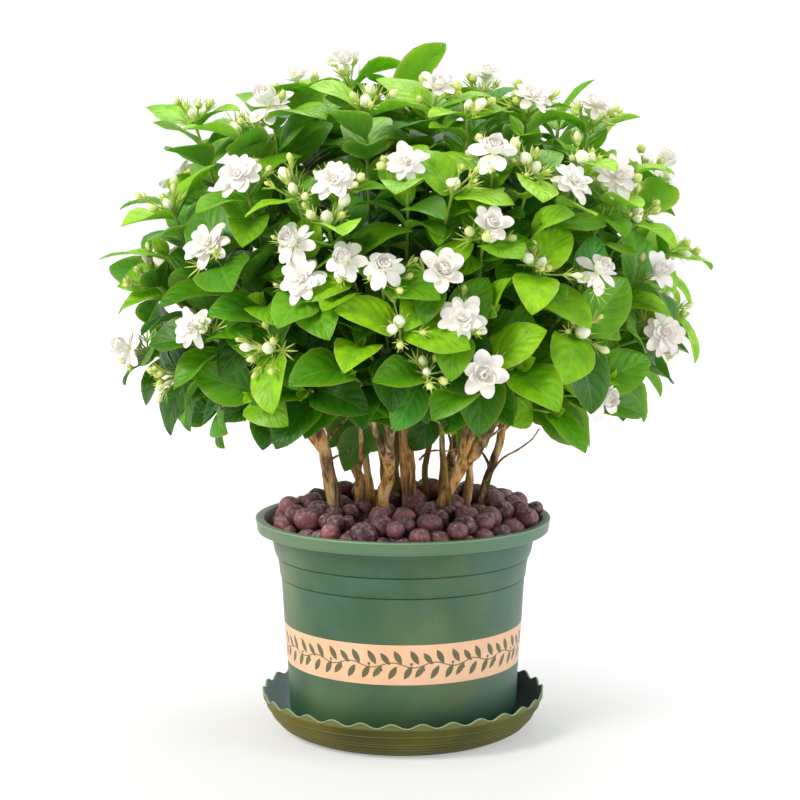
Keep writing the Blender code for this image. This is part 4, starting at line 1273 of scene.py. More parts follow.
def leaf_from(base, axis, side, pitch, size, chance):
    """A leaf that leaves the shoot on this side, at this pitch from its axis."""
    lift = LEAF_LIFT if base.z > CROWN_MIDDLE else -LEAF_HANG
    rise = UP * (lift + chance.uniform(-LEAF_SWAY, LEAF_SWAY))
    roll = Vector([chance.uniform(-LEAF_ROLL, LEAF_ROLL) for _ in range(3)])
    direction = (tilted(axis, side, pitch) + rise).normalized()
    basis = axes_along(direction, axis + UP * LEAF_FACES_UP + roll)
    length = LEAF_LENGTH * size * chance.uniform(0.88, 1.12)
    return base, basis, length, chance.randrange(len(LEAF_SHAPES))


def set_if_clear(shoot, below, leaf, gap, room):
    """Sets the leaf on its shoot if there is room for it with this gap round it."""
    clear = room.is_clear(leaf_shape(leaf, gap), (("shoot", shoot.seed),))
    if clear:
        room.add(leaf_shape(leaf), ("leaf", shoot.seed))
        shoot.leaves.append((below, leaf))
    return clear


def place_leaf(shoot, rank, hand, room):
    """Sets one leaf of a pair, this many pairs below the tip, if there is room for it."""
    below = FIRST_PAIR + rank * PAIR_SPACING
    base, axis = shoot.place(below)
    if base is None:
        return False
    around = axes_along(axis)
    young = shoot.ends_in == "leaves" and rank == 0
    for attempt in range(12):
        chance = random.Random(shoot.seed + 97 * rank + 31 * hand + attempt)
        turn = shoot.turn + math.pi / 2 + rank * math.pi / 2 + hand * math.pi
        side = round_about(around, turn + chance.uniform(-0.09, 0.09) * attempt)
        pitch = chance.uniform(0.55, 0.85) if young else chance.uniform(0.95, 1.35)
        size = shoot.size * (0.95, 1.10, 1.0)[rank] * (1 - 0.02 * attempt)
        leaf = leaf_from(base, axis, side, pitch, size, chance)
        if not hangs_too_low(leaf) and set_if_clear(shoot, below, leaf, CLEARANCE, room):
            return True
    return False


def shoot_shape(shoot):
    """One bare shoot as a closed surface, to try other pieces for room."""
    path = shoot.path
    bases = [axes_along(path[1] - path[0], SKEW)]
    middle, direction = shoot.place((path[2] - path[1]).length)
    for heading in (direction, shoot.axis):
        bases.append(carried_basis(bases[-1], heading))
    spots = zip((path[0], middle, shoot.tip), bases)
    rings = [ring_round(spot, basis, SHOOT_RADIUS, 3) for spot, basis in spots]
    length = BUD_LENGTH * shoot.size
    if shoot.ends_in == "buds":
        wide = length * BUD_WIDTH_SHARE / 2
        rings.append(ring_round(shoot.tip + shoot.axis * length * 0.5, bases[-1], wide, 4))
    if shoot.ends_in != "flower":
        rings.append([shoot.tip + shoot.axis * length])
    return stitched(rings)


room = Room()
shoots = crown_shoots()
shares = [Vector(fork).xy * REACH_SPREAD for _, fork, _ in STEMS]
fed = [[] for _ in STEMS]
for shoot in shoots:
    nearest = min(range(len(STEMS)), key=lambda n: (shares[n] - shoot.tip.xy).length)
    fed[nearest].append(shoot)
grown = [grow_wood(number, group, room) for number, group in enumerate(fed)]
for number, (_, branches) in enumerate(grown):
    grow_shoots(number, branches, room)
shoots = [shoot for shoot in shoots if shoot.path]
fed = [[shoot for shoot in group if shoot.path] for group in fed]
flowers = []
for shoot in shoots:
    flower = flower_spray(shoot, room) if shoot.ends_in == "flower" else None
    if flower:
        room.add(flower.shape(), ("flower", shoot.seed))
        for bud in flower.buds:
            room.add(bud_shape(bud), ("flower", shoot.seed))
        flowers.append(flower)
for shoot in shoots:
    if shoot.ends_in == "buds":
        bud_cluster(shoot, room)
order = random.Random(3)
pairs = [(0.5 * rank + order.random(), k, rank) for rank in range(3) for k in range(len(shoots))]
leaves_placed = 0
for _, k, rank in sorted(pairs):
    for hand in range(2):
        if leaves_placed < LEAVES_WANTED and place_leaf(shoots[k], rank, hand, room):
            leaves_placed += 1


# Leaves between: a bush in leaf has more pairs than its solids need, on the same shoots, and
# single leaves where the top would gape. They are set wherever there is still room, and none
# hangs among the bare stems underneath.

FILL_LEVELS = (0, 1, 2, 0.5, 1.5, 3, 2.5, 4, 3.5, 5, 4.5, 6, 5.5)
FILL_MIDDLE = 0.022
FILL_SKIRT = 0.210
TOP_TRIES = 110
TOP_REACH = 0.135
TOP_FLOOR = 0.310


def above_bare_stems(point):
    """True where the crown is in leaf."""
    return point.z > 0.270 - 0.30 * max(0.0, point.xy.length - 0.04)


def fill_leaf(shoot, level, hand, room):
    """Sets one more leaf this many pair spacings below the tip, if there is room for it."""
    below = FIRST_PAIR + level * PAIR_SPACING
    base, axis = shoot.place(below)
    if base is None or not above_bare_stems(base):
        return
    around = axes_along(axis)
    for attempt in range(14):
        chance = random.Random(shoot.seed + round(970 * level) + 31 * hand + attempt + 5000)
        turn = shoot.turn + math.pi / 2 + level * math.pi / 2 + hand * math.pi
        side = round_about(around, turn + chance.uniform(-0.12, 0.12) * attempt)
        pitch = chance.uniform(0.75, 1.45)
        leaf = leaf_from(base, axis, side, pitch, shoot.size * (0.95 - 0.028 * attempt), chance)
        low = hangs_too_low(leaf, FILL_MIDDLE, FILL_SKIRT)
        if not low and set_if_clear(shoot, below, leaf, CLEARANCE / 2, room):
            return


for level in FILL_LEVELS:
    for shoot in shoots:
        here = FIRST_PAIR + level * PAIR_SPACING
        taken = sum(1 for below, _ in shoot.leaves if abs(below - here) < 0.001)
        for hand in range(taken, 2):
            fill_leaf(shoot, level, hand, room)

for shoot in shoots:
    chance = random.Random(shoot.seed + 800)
    for _ in range(TOP_TRIES if shoot.tip.xy.length < TOP_REACH else 0):
        below = chance.uniform(0.008, 0.110)
        base, axis = shoot.place(below)
        if base is None or base.z < TOP_FLOOR:
            continue
        side = round_about(axes_along(axis), chance.uniform(0, 2 * math.pi))
        leaf = leaf_from(base, axis, side, chance.uniform(0.9, 1.6), chance.uniform(0.8, 1.15), chance)
        set_if_clear(shoot, below, leaf, CLEARANCE / 2, room)


# Wood: the stems stand close together in the middle of the pot, gnarled, with rough bark that
# is grey-brown on some and worn to orange-tan on others. Thinner stems stand between them,
# with bare dead twigs and twigs that still hold an old leaf or two in the shade.

BARK_STEP = 0.0020
BARK_SWAY = ((26, 0.0034), (70, 0.0016))
WOOD_SIDES = 14
THIN_STEM_FOOT = 0.160
DEAD_TWIGS = (
    ((0.064, -0.006, 0.196), (0.104, -0.034, 0.240), 0.0011),
    ((0.012, -0.020, 0.214), (0.044, -0.058, 0.230), 0.0009),
)
TWIGS_TO_A_STEM = 3


def limb_tree():
    """A round limb along each line, as thick as stored in its points, with a rough skin."""
    kinds = {"Step": "Float", "Sides": "Int", "Roughness": "Float", "Grain": "Float"}
    limb = Growing("limb", [(label, "NodeSocket" + kind) for label, kind in kinds.items()])
    given = limb.given
    line = limb.made("GeometryNodeMeshToCurve", (), {"Mesh": given["Base"]})
    sockets = {"Curve": line, "Length": given["Step"]}
    line = limb.made("GeometryNodeResampleCurve", {"mode": "LENGTH"}, sockets)
    sockets = {"Resolution": given["Sides"], "Radius": 1.0}
    section = limb.made("GeometryNodeCurvePrimitiveCircle", (), sockets)
    thick = limb.stored("thick", "FLOAT")
    sockets = {"Curve": line, "Profile Curve": section, "Scale": thick, "Fill Caps": True}
    skin = limb.made("GeometryNodeCurveToMesh", (), sockets)
    point = limb.made("GeometryNodeInputPosition")
    point = limb.made("ShaderNodeVectorMath", {"operation": "MULTIPLY"}, {0: point, 1: (1.0, 1.0, 0.35)})
    sockets = {"Vector": point, "Scale": given["Grain"], "Detail": 3.0}
    rough = Level(limb, limb.made("ShaderNodeTexNoise", (), sockets))
    sockets = {0: limb.made("GeometryNodeInputNormal"), "Scale": (rough - 0.5) * thick * given["Roughness"]}
    offset = limb.made("ShaderNodeVectorMath", {"operation": "SCALE"}, sockets)
    rugged = limb.made("GeometryNodeSetPosition", (), {"Geometry": skin, "Offset": offset})
    return limb.end(limb.made("GeometryNodeSetShadeSmooth", (), {"Geometry": rugged}))


LIMB = limb_tree()


def run_limbs(name, limbs, finish, step, sides, roughness=0.0, grain=200.0):
    """One piece of limbs, each a list of (point, radius, age)."""
    points, edges, thick, age = [], [], [], []
    for limb in limbs:
        first = len(points)
        points += [tuple(point) for point, _, _ in limb]
        thick += [radius for _, radius, _ in limb]
        age += [value for _, _, value in limb]
        edges += [(k, k + 1) for k in range(first, len(points) - 1)]
    mesh = bpy.data.meshes.new("lines")
    mesh.from_pydata(points, edges, [])
    mesh.attributes.new("thick", "FLOAT", "POINT").data.foreach_set("value", thick)
    mesh.attributes.new("age", "FLOAT", "POINT").data.foreach_set("value", age)
    inputs = {"Step": step, "Sides": sides, "Roughness": roughness, "Grain": grain, "Finish": finish}
    return grown_from(name, mesh, LIMB, inputs, ("thick",))


def softened(path, radii, rounds=2):
    """The path and radii with their corners cut this many times, and both ends kept."""
    items = [(Vector(point), radius) for point, radius in zip(path, radii)]
    for _ in range(rounds):
        cut = [items[0]]
        for (a, thin), (b, thick) in zip(items, items[1:]):
            cut.append((a.lerp(b, 0.25), thin * 0.75 + thick * 0.25))
            cut.append((a.lerp(b, 0.75), thin * 0.25 + thick * 0.75))
        items = [*cut, items[-1]]
    return items


def barked(line, seed):
    """The line of a limb, swayed about, with how far its skin has turned to bark."""
    chance = random.Random(seed)
    shift = Vector([chance.uniform(-9, 9) for _ in range(3)])
    made = []
    for k, (point, radius) in enumerate(line):
        sway = Vector((0, 0, 0))
        for waves, reach in BARK_SWAY:
            sway.x += reach * noise.noise(point * waves + shift)
            sway.y += reach * noise.noise(point * waves + shift + UP * 9)
        held = smooth_step(point.z, 0.165, 0.190) * (k < len(line) - 1)
        made.append((point + sway * held, radius, smooth_step(radius, 0.0012, 0.0028)))
    return made


wood_finish = Finish("bark", Specular_IOR_Level=0.3)
wood_age = wood_finish.own("age")
fissures = wood_finish.grain(260, 5, 0.65, (1, 1, 0.22))
patches = wood_finish.grain(70, 3, 0.6, (1, 1, 0.4))
warm = wood_finish.grain(22, 2, 0.5, (1, 1, 0.5))
ridges = wood_finish.grain(150, 3, 0.55, (1, 1, 0.12))
warts = wood_finish.cells(420)
wood_finish.colour = wood_finish.blend(fissures.rise(0.36, 0.66), (70, 52, 36), (174, 140, 100))
tan = wood_finish.blend(fissures.rise(0.30, 0.62), (126, 78, 32), (236, 180, 106))
wood_finish.coat(warm.rise(0.44, 0.60), tan)
wood_finish.coat(patches.rise(0.46, 0.30) * 0.8, (54, 42, 24))
wood_finish.coat(patches.rise(0.58, 0.72) * 0.6, (204, 176, 136))
wood_finish.coat(ridges.rise(0.54, 0.66) * 0.7, (232, 206, 150))
wood_finish.coat(ridges.rise(0.46, 0.34) * 0.8, (58, 38, 22))
wood_finish.coat(warts.rise(0.16, 0.05) * 0.4, (190, 164, 124))
wood_finish.coat(1 - wood_age, (116, 104, 44))
wood_relief = fissures * 0.4 + ridges * 0.5 + warts.rise(0.2, 0.0) * 0.2
wood_finish.done(0.78 + 0.16 * fissures, wood_relief, 0.0020)

for number, (limbs, _) in enumerate(grown):
    lines = [barked(softened(*limb), 100 * number + k) for k, limb in enumerate(limbs)]
    wood = run_limbs(
        f"wood_{number + 1}", lines, wood_finish.material, BARK_STEP, WOOD_SIDES, 1.0, 130.0
    )
    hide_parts(f"stem_{number + 1}")
    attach(wood, "root")

thin_limbs = [((*place, THIN_STEM_FOOT), end, radius) for place, end, radius in THIN_STEMS]
thin_limbs += DEAD_TWIGS
old_leaves = [[] for _ in grown]
chance = random.Random(61)
for number, (limbs, _) in enumerate(grown):
    for _ in range(TWIGS_TO_A_STEM):
        start = along_path(limbs[0][0][1:4], chance.uniform(0.3, 1.0))
        turn = chance.uniform(0, 2 * math.pi)
        aim = Vector((math.cos(turn), math.sin(turn), chance.uniform(0.4, 1.6))).normalized()
        end = start + aim * chance.uniform(0.022, 0.050)
        thin_limbs.append((start, end, chance.uniform(0.0009, 0.0015)))
        face = Vector((0.3 * aim.x, math.copysign(1.0, aim.y), 0.3))
        for hand in (-0.6, 0.6):
            drop = Vector((hand, 0.3 * aim.y, -1)).normalized()
            kind = chance.randrange(len(LEAF_SHAPES))
            leaf = (end, axes_along(drop, face), LEAF_LENGTH * chance.uniform(0.65, 0.95), kind)
            shaded = end.z - leaf[2] > 0.200 and abs(end.x) < 0.075
            if shaded and room.is_clear(leaf_shape(leaf, CLEARANCE / 2)):
                room.add(leaf_shape(leaf), ("old leaf", number))
                old_leaves[number].append(leaf)
lines = []
for number, (start, end, radius) in enumerate(thin_limbs):
    start, end = Vector(start), Vector(end)
    heading = (end - start).normalized()
    path = bent(start, (heading + UP).normalized(), end, (heading + UP * 0.3).normalized(), 6)
    line = softened(path, [radius * (1 - 0.10 * k) for k in range(6)])
    bark = 0.35 if number % 3 == 1 else 1.0
    lines.append([(point, thick, bark) for point, thick, _ in barked(line, number + 900)])
thin_wood = run_limbs("thin_stems", lines, wood_finish.material, BARK_STEP, 9, 0.6, 220.0)
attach(thin_wood, "root")


# Green shoots: soft young growth as thick as a match, yellow-green at the tip and firmer
# and browner where it leaves the branch, with a slight swelling at each pair of leaves.

SHOOT_SIDES = 8
SHOOT_STEP = 0.0030
KNUCKLE_HALF_LENGTH = 0.0016
GREEN_LENGTH = 0.14

green_finish = Finish("green shoot", Specular_IOR_Level=0.45)
green_age = green_finish.own("age")
mottle = green_finish.grain(380, 3, 0.6)
green_finish.colour = green_finish.blend(green_age.rise(0.0, 0.55), (146, 180, 70), (84, 122, 40))
green_finish.coat(green_age.rise(0.55, 1.0), (98, 78, 38))
green_finish.coat(mottle.rise(0.5, 0.75) * 0.35, (170, 150, 86))
green_finish.done(0.42 + 0.2 * mottle, mottle, 0.0002)


def shoot_line(shoot):
    """The shoot's bend rounded, with a swelling at each pair of leaves."""
    line = softened(shoot.path, [SHOOT_RADIUS] * len(shoot.path), 3)
    total = sum((a[0] - b[0]).length for a, b in zip(line, line[1:]))
    nodes = {round(below, 4) for below, _ in shoot.leaves}
    run = 0.0
    made = []
    fine = [line[0][0]]
    for (a, _), (b, _) in zip(line, line[1:]):
        parts = max(1, round((b - a).length / SHOOT_STEP))
        fine += [a.lerp(b, (k + 1) / parts) for k in range(parts)]
    for k, point in enumerate(fine):
        run += (point - fine[k - 1]).length if k else 0.0
        below = total - run
        knuckle = sum(math.exp(-((below - node) / KNUCKLE_HALF_LENGTH) ** 2) for node in nodes)
        share = below / GREEN_LENGTH
        radius = SHOOT_RADIUS * (0.78 + 0.40 * min(share, 1)) * (1 + 0.35 * min(knuckle, 1))
        made.append((point, radius, min(share, 1.0)))
    return made


for number, group in enumerate(fed):
    lines = [shoot_line(shoot) for shoot in group]
    green = run_limbs(
        f"shoots_{number + 1}", lines, green_finish.material, SHOOT_STEP, SHOOT_SIDES, 0.25, 300.0
    )
    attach(green, "root")


# Leaves: opposite pairs of broad pointed blades on short stalks, glossy above and paler
# beneath, folded a little along the midrib, with the blade raised between curved veins.

BLADE_STATIONS = (0.0, 0.06, 0.10, 0.17, 0.28, 0.42, 0.56, 0.70, 0.82, 0.91, 0.965, 1.0)
BLADE_OUTLINE = (0.60, 0.88, 0.3682)
STALK_SHARE = 0.07
BLADE_SHARE = 0.93
LEAF_STALK_RADIUS = 0.011
BLADE_THICKNESS = 0.0045
BLADE_BULGE = 0.07
LEAF_TWISTS = (-9, 0, 9)
YOUNG_LEAF = 0.017
YOUNG_FORM = 2 * len(LEAF_TWISTS) + 1


def sleeve(rings):
    """Points, faces and face-corner places of the closed skin through equal rings. The two
    halves of each ring are split alike, so that a thin blade's faces lie parallel."""
    count = len(rings[0])
    points = [point for ring in rings for point in ring]
    faces = [tuple(range(count))[::-1]]
    places = [(0.0, 0.0)] * count
    last = len(rings) - 1
    for row in range(last):
        for k in range(count):
            n = (k + 1) % count
            a, b = row * count + k, row * count + n
            face = [a, b, b + count, a + count]
            low, high = row / last, (row + 1) / last
            left, right = 2 * k / count, 2 * (k + 1) / count
            corners = [(left, low), (right, low), (right, high), (left, high)]
            if k >= count / 2:
                face.append(face.pop(0))
                corners.append(corners.pop(0))
            faces.append(tuple(face))
            places += corners
    faces.append(tuple(range(last * count, (last + 1) * count)))
    places += [(0.0, 1.0)] * count
    return points, faces, places


def blade_ring(row, up, crest=1.0, keel=1.0):
    """The ring round five points across a blade, raised and lowered between its edges."""
    return [
        row[0], row[1] + up, row[2] + up * crest, row[3] + up,
        row[4], row[3] - up, row[2] - up * keel, row[1] - up,
    ]


def leaf_form(kind, twist):
    """A leaf one unit long, with its stalk, in the axes across, along and out."""
    rings = []
    for t in BLADE_STATIONS:
        share = outline(max(t - STALK_SHARE, 0.0) / BLADE_SHARE, *BLADE_OUTLINE)
        arch, fold, _ = LEAF_SHAPES[kind]
        middle = leaf_point(t, 0, 1, kind)
        slope = math.radians(arch * (0.40 - t))
        half = max(LEAF_WIDTH_SHARE / 2 * share, LEAF_STALK_RADIUS if t < 0.12 else 0.002)
        thick = LEAF_STALK_RADIUS if t < 0.08 else BLADE_THICKNESS * (1 - 0.5 * t)
        turn = Matrix.Rotation(slope, 3, "X") @ Matrix.Rotation(math.radians(twist) * t, 3, "Y")
        up = turn @ Vector((0, 0, thick))
        across = []
        for v in (-1, -0.5, 0, 0.5, 1):
            rise = folded(t, v, half, kind) + BLADE_BULGE * half * math.sin(math.pi * abs(v))
            across.append(middle + turn @ Vector((v * half * math.cos(math.radians(fold)), 0, rise)))
        rings.append(blade_ring(across, up, 0.7, 1.9))
    return sleeve(rings)


leaf_finish = Finish(
    "leaf", Specular_IOR_Level=0.22, Subsurface_Weight=0.22, Subsurface_Scale=0.004,
    Subsurface_Radius=(0.4, 1.0, 0.1), Coat_Roughness=0.22, Coat_Weight=0.04,
)
across, along = leaf_finish.across_and_along()
tone = leaf_finish.own("tone")
tint = leaf_finish.own("tint")
under = across.rise(0.999, 1.001)
off_middle = abs(across.maths("FRACT") * 2 - 1)
vein_run = (along - 0.15 * off_middle - 0.07 * off_middle ** 2.0) * 9.0
from_vein = abs(vein_run.maths("FRACT") - 0.5)
side_vein = from_vein.rise(0.075, 0.0) * off_middle.rise(0.94, 0.70)
midrib = off_middle.rise(0.075, 0.02)
veins = midrib.maths("MAXIMUM", side_vein * 0.75)
blotch = leaf_finish.grain(85, 3, 0.6)
network = leaf_finish.cells(1300)
# For leaves the tone holds painted light and shade: bright on the outside, top and right of the crown, dark
# inside and low down. Young leaves are bright and there is some random spread.
leaf_finish.colour = leaf_finish.blend(tone.rise(0.0, 0.55), (34, 68, 8), (78, 142, 12))
leaf_finish.coat(tone.rise(0.45, 1.0), (148, 206, 24))
leaf_finish.coat(tint.rise(0.94, 1.0) * 0.6, (22, 130, 50))
leaf_finish.coat(blotch.rise(0.35, 0.70) * 0.40, (50, 100, 18))
leaf_finish.coat(veins * (0.07 + 0.17 * tone), (170, 208, 92))
leaf_finish.coat(off_middle.rise(0.94, 0.995) * (0.1 + 0.3 * tone), (180, 212, 92))
leaf_finish.coat(network.rise(0.20, 0.02) * 0.10, (150, 190, 76))
leaf_finish.coat(under * 0.35 * tone.rise(-0.3, 0.6), (146, 188, 84))
quilting = from_vein.rise(0.0, 0.42) * off_middle.rise(1.0, 0.55) * off_middle.rise(0.03, 0.22)
leaf_relief = quilting * (1 - 1.6 * under) * 0.8 + network.rise(0.0, 0.3) * 0.12
leaf_finish.done(0.32 + 0.14 * blotch + 0.24 * under, leaf_relief, 0.0005)

leaf_shapes = shape_set(
    "leaf", [leaf_form(kind, twist) for kind in range(len(LEAF_SHAPES)) for twist in LEAF_TWISTS]
)


def leaf_light_and_shade(point, chance):
    """Painted light and shade of a leaf: yellow-green outside, on top and on the right, dark within and
    mostly below.
    """
    arm = point - CROWN_CENTRE
    depth = 1 - arm.length / crown_reach(arm.normalized())
    lit = 0.69 - 2.0 * depth + 1.1 * (point.z - 0.36)
    shaded = 0.35 if point.x > 0.08 else 0.65
    if chance.random() < shaded * smooth_step(point.z, 0.38, 0.29):
        lit -= 0.50
    if point.x > 0 or point.z < 0.33:
        lit += 1.3 * point.x
    if point.xy.length < 0.10:
        lit = min(lit, 0.1 + 6 * (point.z - 0.24))
    return min(max(lit + chance.uniform(-0.24, 0.32), 0.0), 1.0)


for number, group in enumerate(fed):
    leaf_places = []
    green_leaves = [leaf for shoot in group for _, leaf in shoot.leaves]
    for base, basis, length, kind in green_leaves + old_leaves[number]:
        chance = random.Random(round(1e6 * (base.x + 3 * base.y + 7 * length)))
        form = kind * len(LEAF_TWISTS) + chance.randrange(len(LEAF_TWISTS))
        middle = base + basis.col[1] * length * 0.5
        leaf_places.append((
            base, basis.to_quaternion(), length, form, leaf_light_and_shade(middle, chance), chance.random(),
        ))
    for shoot in group:
        if shoot.ends_in == "leaves":
            chance = random.Random(shoot.seed + 1)
            around = axes_along(shoot.axis)
            for hand in range(2):
                side = round_about(around, shoot.turn + hand * math.pi)
                basis = axes_along(shoot.axis + side * 0.32, shoot.axis - side)
                young = YOUNG_LEAF * shoot.size * chance.uniform(0.8, 1.1)
                base = shoot.tip - shoot.axis * 0.001
                leaf_places.append((base, basis.to_quaternion(), young, YOUNG_FORM, 1.0, 0.2))
    leaves = set_out(f"leaves_{number + 1}", leaf_shapes, leaf_places, leaf_finish.material)
    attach(leaves, "root")
clear_set(leaf_shapes)


# Flowers: white, double and waxy. A green stalk carries a calyx of narrow teeth, and a pale
# tube from it opens into whorls of broad rounded petals: flat and layered in some flowers,
# a ball over turned-back petals in others, and half open in the youngest.

PETAL_STATIONS = (0.0, 0.10, 0.26, 0.44, 0.62, 0.79, 0.91, 1.0)
PETAL_THICKNESS = 0.010

# For each whorl: how many petals, where they start, and the ranges of their length, width,
# lean and curl, then how far they cup. Lengths are in shares of the flower's radius.
OPEN_BLOOM = (
    (8, (0.10, -0.02), (0.78, 1.04), (0.42, 0.58), (-4, 28), (0, 36), 0.16),
    (7, (0.09, 0.03), (0.60, 0.80), (0.40, 0.56), (14, 44), (0, 38), 0.34),
    (6, (0.07, 0.05), (0.40, 0.56), (0.34, 0.50), (32, 62), (-16, 30), 0.50),
    (5, (0.03, 0.06), (0.26, 0.38), (0.30, 0.42), (54, 82), (-60, 0), 0.6),
    (3, (0.00, 0.10), (0.18, 0.26), (0.24, 0.34), (60, 100), (-80, -30), 0.5),
)
BALL_BLOOM = (
    (6, (0.10, -0.03), (0.76, 0.98), (0.46, 0.60), (-10, 18), (12, 44), 0.20),
    (3, (0.11, -0.02), (0.70, 0.90), (0.18, 0.26), (0, 30), (10, 40), 0.30),
    (6, (0.10, 0.03), (0.70, 0.82), (0.68, 0.82), (54, 68), (-34, -12), 0.70),
    (5, (0.07, 0.05), (0.58, 0.68), (0.54, 0.66), (70, 82), (-40, -20), 0.85),
    (4, (0.05, 0.10), (0.46, 0.54), (0.44, 0.54), (76, 92), (-100, -50), 0.7),
)
HALF_OPEN_BLOOM = (
    (6, (0.10, -0.02), (0.78, 0.94), (0.50, 0.62), (32, 52), (16, 44), 0.30),
    (6, (0.08, 0.02), (0.70, 0.80), (0.50, 0.60), (56, 70), (-8, 16), 0.55),
    (5, (0.05, 0.04), (0.58, 0.66), (0.44, 0.52), (74, 84), (-24, -4), 0.90),
    (4, (0.04, 0.08), (0.46, 0.54), (0.38, 0.48), (78, 92), (-90, -40), 0.8),
)
BLOOM_FORMS = [OPEN_BLOOM] * 4 + [BALL_BLOOM] * 3 + [HALF_OPEN_BLOOM] * 2


def out_and_across(turn):
    """The ways out and across of a petal or tooth at this turn round the second axis."""
    return Vector((math.sin(turn), 0, math.cos(turn))), Vector((-math.cos(turn), 0, math.sin(turn)))


def petal_rings(turn, start, long, wide, lean, curl, cup, ruffle, phase):
    """Cross-sections of one petal of a flower of radius 1 that faces along its second axis."""
    out, across = out_and_across(turn)
    facing = Vector((0, 1, 0))
    point = out * start[0] + facing * start[1]
    rings = []
    before = 0.0
    for t in PETAL_STATIONS:
        angle = math.radians(lean - curl * (t + before) / 2)
        heading = out * math.cos(angle) + facing * math.sin(angle)
        point = point + heading * long * (t - before)
        before = t
        angle = math.radians(lean - curl * t)
        up = facing * math.cos(angle) - out * math.sin(angle)
        tip = max(1 - abs(2 * min(max(t, 0.02), 0.985) - 1) ** 2.8, 0.0) ** (0.58 if wide > 0.3 else 1.0)
        half = wide / 2 * tip * (0.40 + 0.60 * smooth_step(t, 0.0, 0.5))
        row = []
        for v in (-1, -0.5, 0, 0.5, 1):
            rise = cup * half * v * v + ruffle * half * v * math.sin(5.2 * t + phase)
            row.append(point + across * (v * half) + up * rise)
        rings.append(blade_ring(row, up * PETAL_THICKNESS))
    return rings


def joined(parts):
    """Several skins as one shape."""
    points, faces, places = [], [], []
    for more_points, more_faces, more_places in parts:
        first = len(points)
        points += more_points
        faces += [tuple(first + k for k in face) for face in more_faces]
        places += more_places
    return points, faces, places


def bloom_form(seed, whorls):
    """The petals of a double flower of radius 1."""
    chance = random.Random(seed)
    parts = []
    for number, (count, start, long, wide, lean, curl, cup) in enumerate(whorls):
        first = number * 0.45 + chance.uniform(0, 0.4)
        for k in range(count):
            turn = first + 2 * math.pi * k / count + chance.uniform(-0.24, 0.24)
            parts.append(sleeve(petal_rings(
                turn, start, chance.uniform(*long), chance.uniform(*wide), chance.uniform(*lean),
                chance.uniform(*curl), cup * chance.uniform(0.6, 1.2), chance.uniform(0.04, 0.20),
                chance.uniform(0, 6.3),
            )))
    return joined(parts)


# The petals give off a faint warm glow: painted light that lifts their white.
petal_finish = Finish(
    "petal", Specular_IOR_Level=0.3, Subsurface_Weight=0.12, Subsurface_Scale=0.003,
    Subsurface_Radius=(1.0, 0.95, 0.85), Emission_Color=(1.0, 0.95, 0.88, 1.0), Emission_Strength=0.06,
)
across, along = petal_finish.across_and_along()
aged = petal_finish.own("tint")
off_middle = abs(across.maths("FRACT") * 2 - 1)
own_places = petal_finish.node("ShaderNodeUVMap", {"uv_map": "UVMap"}).outputs["UV"]
drawn_out = petal_finish.node("ShaderNodeMapping", (), {"Vector": own_places, "Scale": (26, 2.2, 1)})
threads = petal_finish.grain(1.0, 2, 0.6, vector=drawn_out.outputs[0])
flush = petal_finish.grain(160, 3, 0.5)
petal_finish.colour = petal_finish.blend(along.rise(0.0, 0.36), (222, 226, 184), (238, 234, 227))
petal_finish.coat(threads.rise(0.5, 0.8) * 0.3, (224, 214, 206))
petal_finish.coat(flush.rise(0.55, 0.8) * 0.2, (226, 208, 206))
petal_finish.coat(aged.rise(0.93, 1.0) * along.rise(0.2, 1.0) * 0.6, (206, 160, 146))
petal_finish.done(0.50 + 0.15 * threads, threads, 0.0002)


def spun(basis, chance):
    """The turn of a basis, spun by chance about its along axis."""
    return (basis @ Matrix.Rotation(chance.uniform(0, 6.3), 3, "Y")).to_quaternion()


bloom_shapes = shape_set("bloom", [bloom_form(40 + k, whorls) for k, whorls in enumerate(BLOOM_FORMS)])
bloom_places = []
for flower in flowers:
    chance = random.Random(flower.seed + 3)
    bloom_places.append((
        flower.centre, spun(flower.basis, chance), flower.radius, chance.randrange(len(BLOOM_FORMS)),
        chance.random(), chance.random(),
    ))
blooms = set_out("blooms", bloom_shapes, bloom_places, petal_finish.material)
clear_set(bloom_shapes)
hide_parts(*[name for name in frame["nodes"] if name.startswith("flower_")])
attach(blooms, "root")

neck_lines = []
for flower in flowers:
    calyx = flower.foot.lerp(flower.centre, 0.42)
    end = flower.centre + flower.facing * 0.02 * flower.radius
    path = bent(calyx, (flower.centre - flower.foot).normalized(), end, flower.facing, 7)
    neck_lines.append([
        (point, 0.0010 + 0.0014 * (k / 6) ** 2.2, 0.0) for k, point in enumerate(path)
    ])
necks = run_limbs("flower_tubes", neck_lines, petal_finish.material, 0.0015, 10)
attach(necks, "root")


# Buds: round and cream-white with petals wrapped in a spiral, greener while small, and some
# drawn out on a slender tube. Each sits on a thin stalk in a calyx of narrow teeth. Bare
# calyces stay where flowers have dropped.

ROUND_BUD = (
    (0.0, 0.26), (0.07, 0.52), (0.18, 0.78), (0.34, 0.96), (0.50, 1.0), (0.66, 0.92),
    (0.80, 0.70), (0.91, 0.42), (1.0, 0.06),
)
LONG_BUD = (
    (0.0, 0.24), (0.14, 0.27), (0.30, 0.34), (0.42, 0.56), (0.55, 0.86), (0.68, 0.98),
    (0.80, 0.86), (0.91, 0.52), (1.0, 0.06),
)
BUD_FORMS = (
    (1.0, ROUND_BUD), (0.92, ROUND_BUD), (0.80, ROUND_BUD), (1.04, ROUND_BUD),
    (0.80, LONG_BUD), (0.70, LONG_BUD),
)
TEETH = 8
TOOTH_WIDTH = 0.058
CUP_SHARE = 0.88
FLOWER_CALYX_LENGTH = 0.0092
BARE_CALYX_LENGTH = 0.0098
BARE_STALK_RADIUS = 0.00070
BUD_STALK_RADIUS = 0.00072
FLOWER_STALK_RADIUS = 0.00105

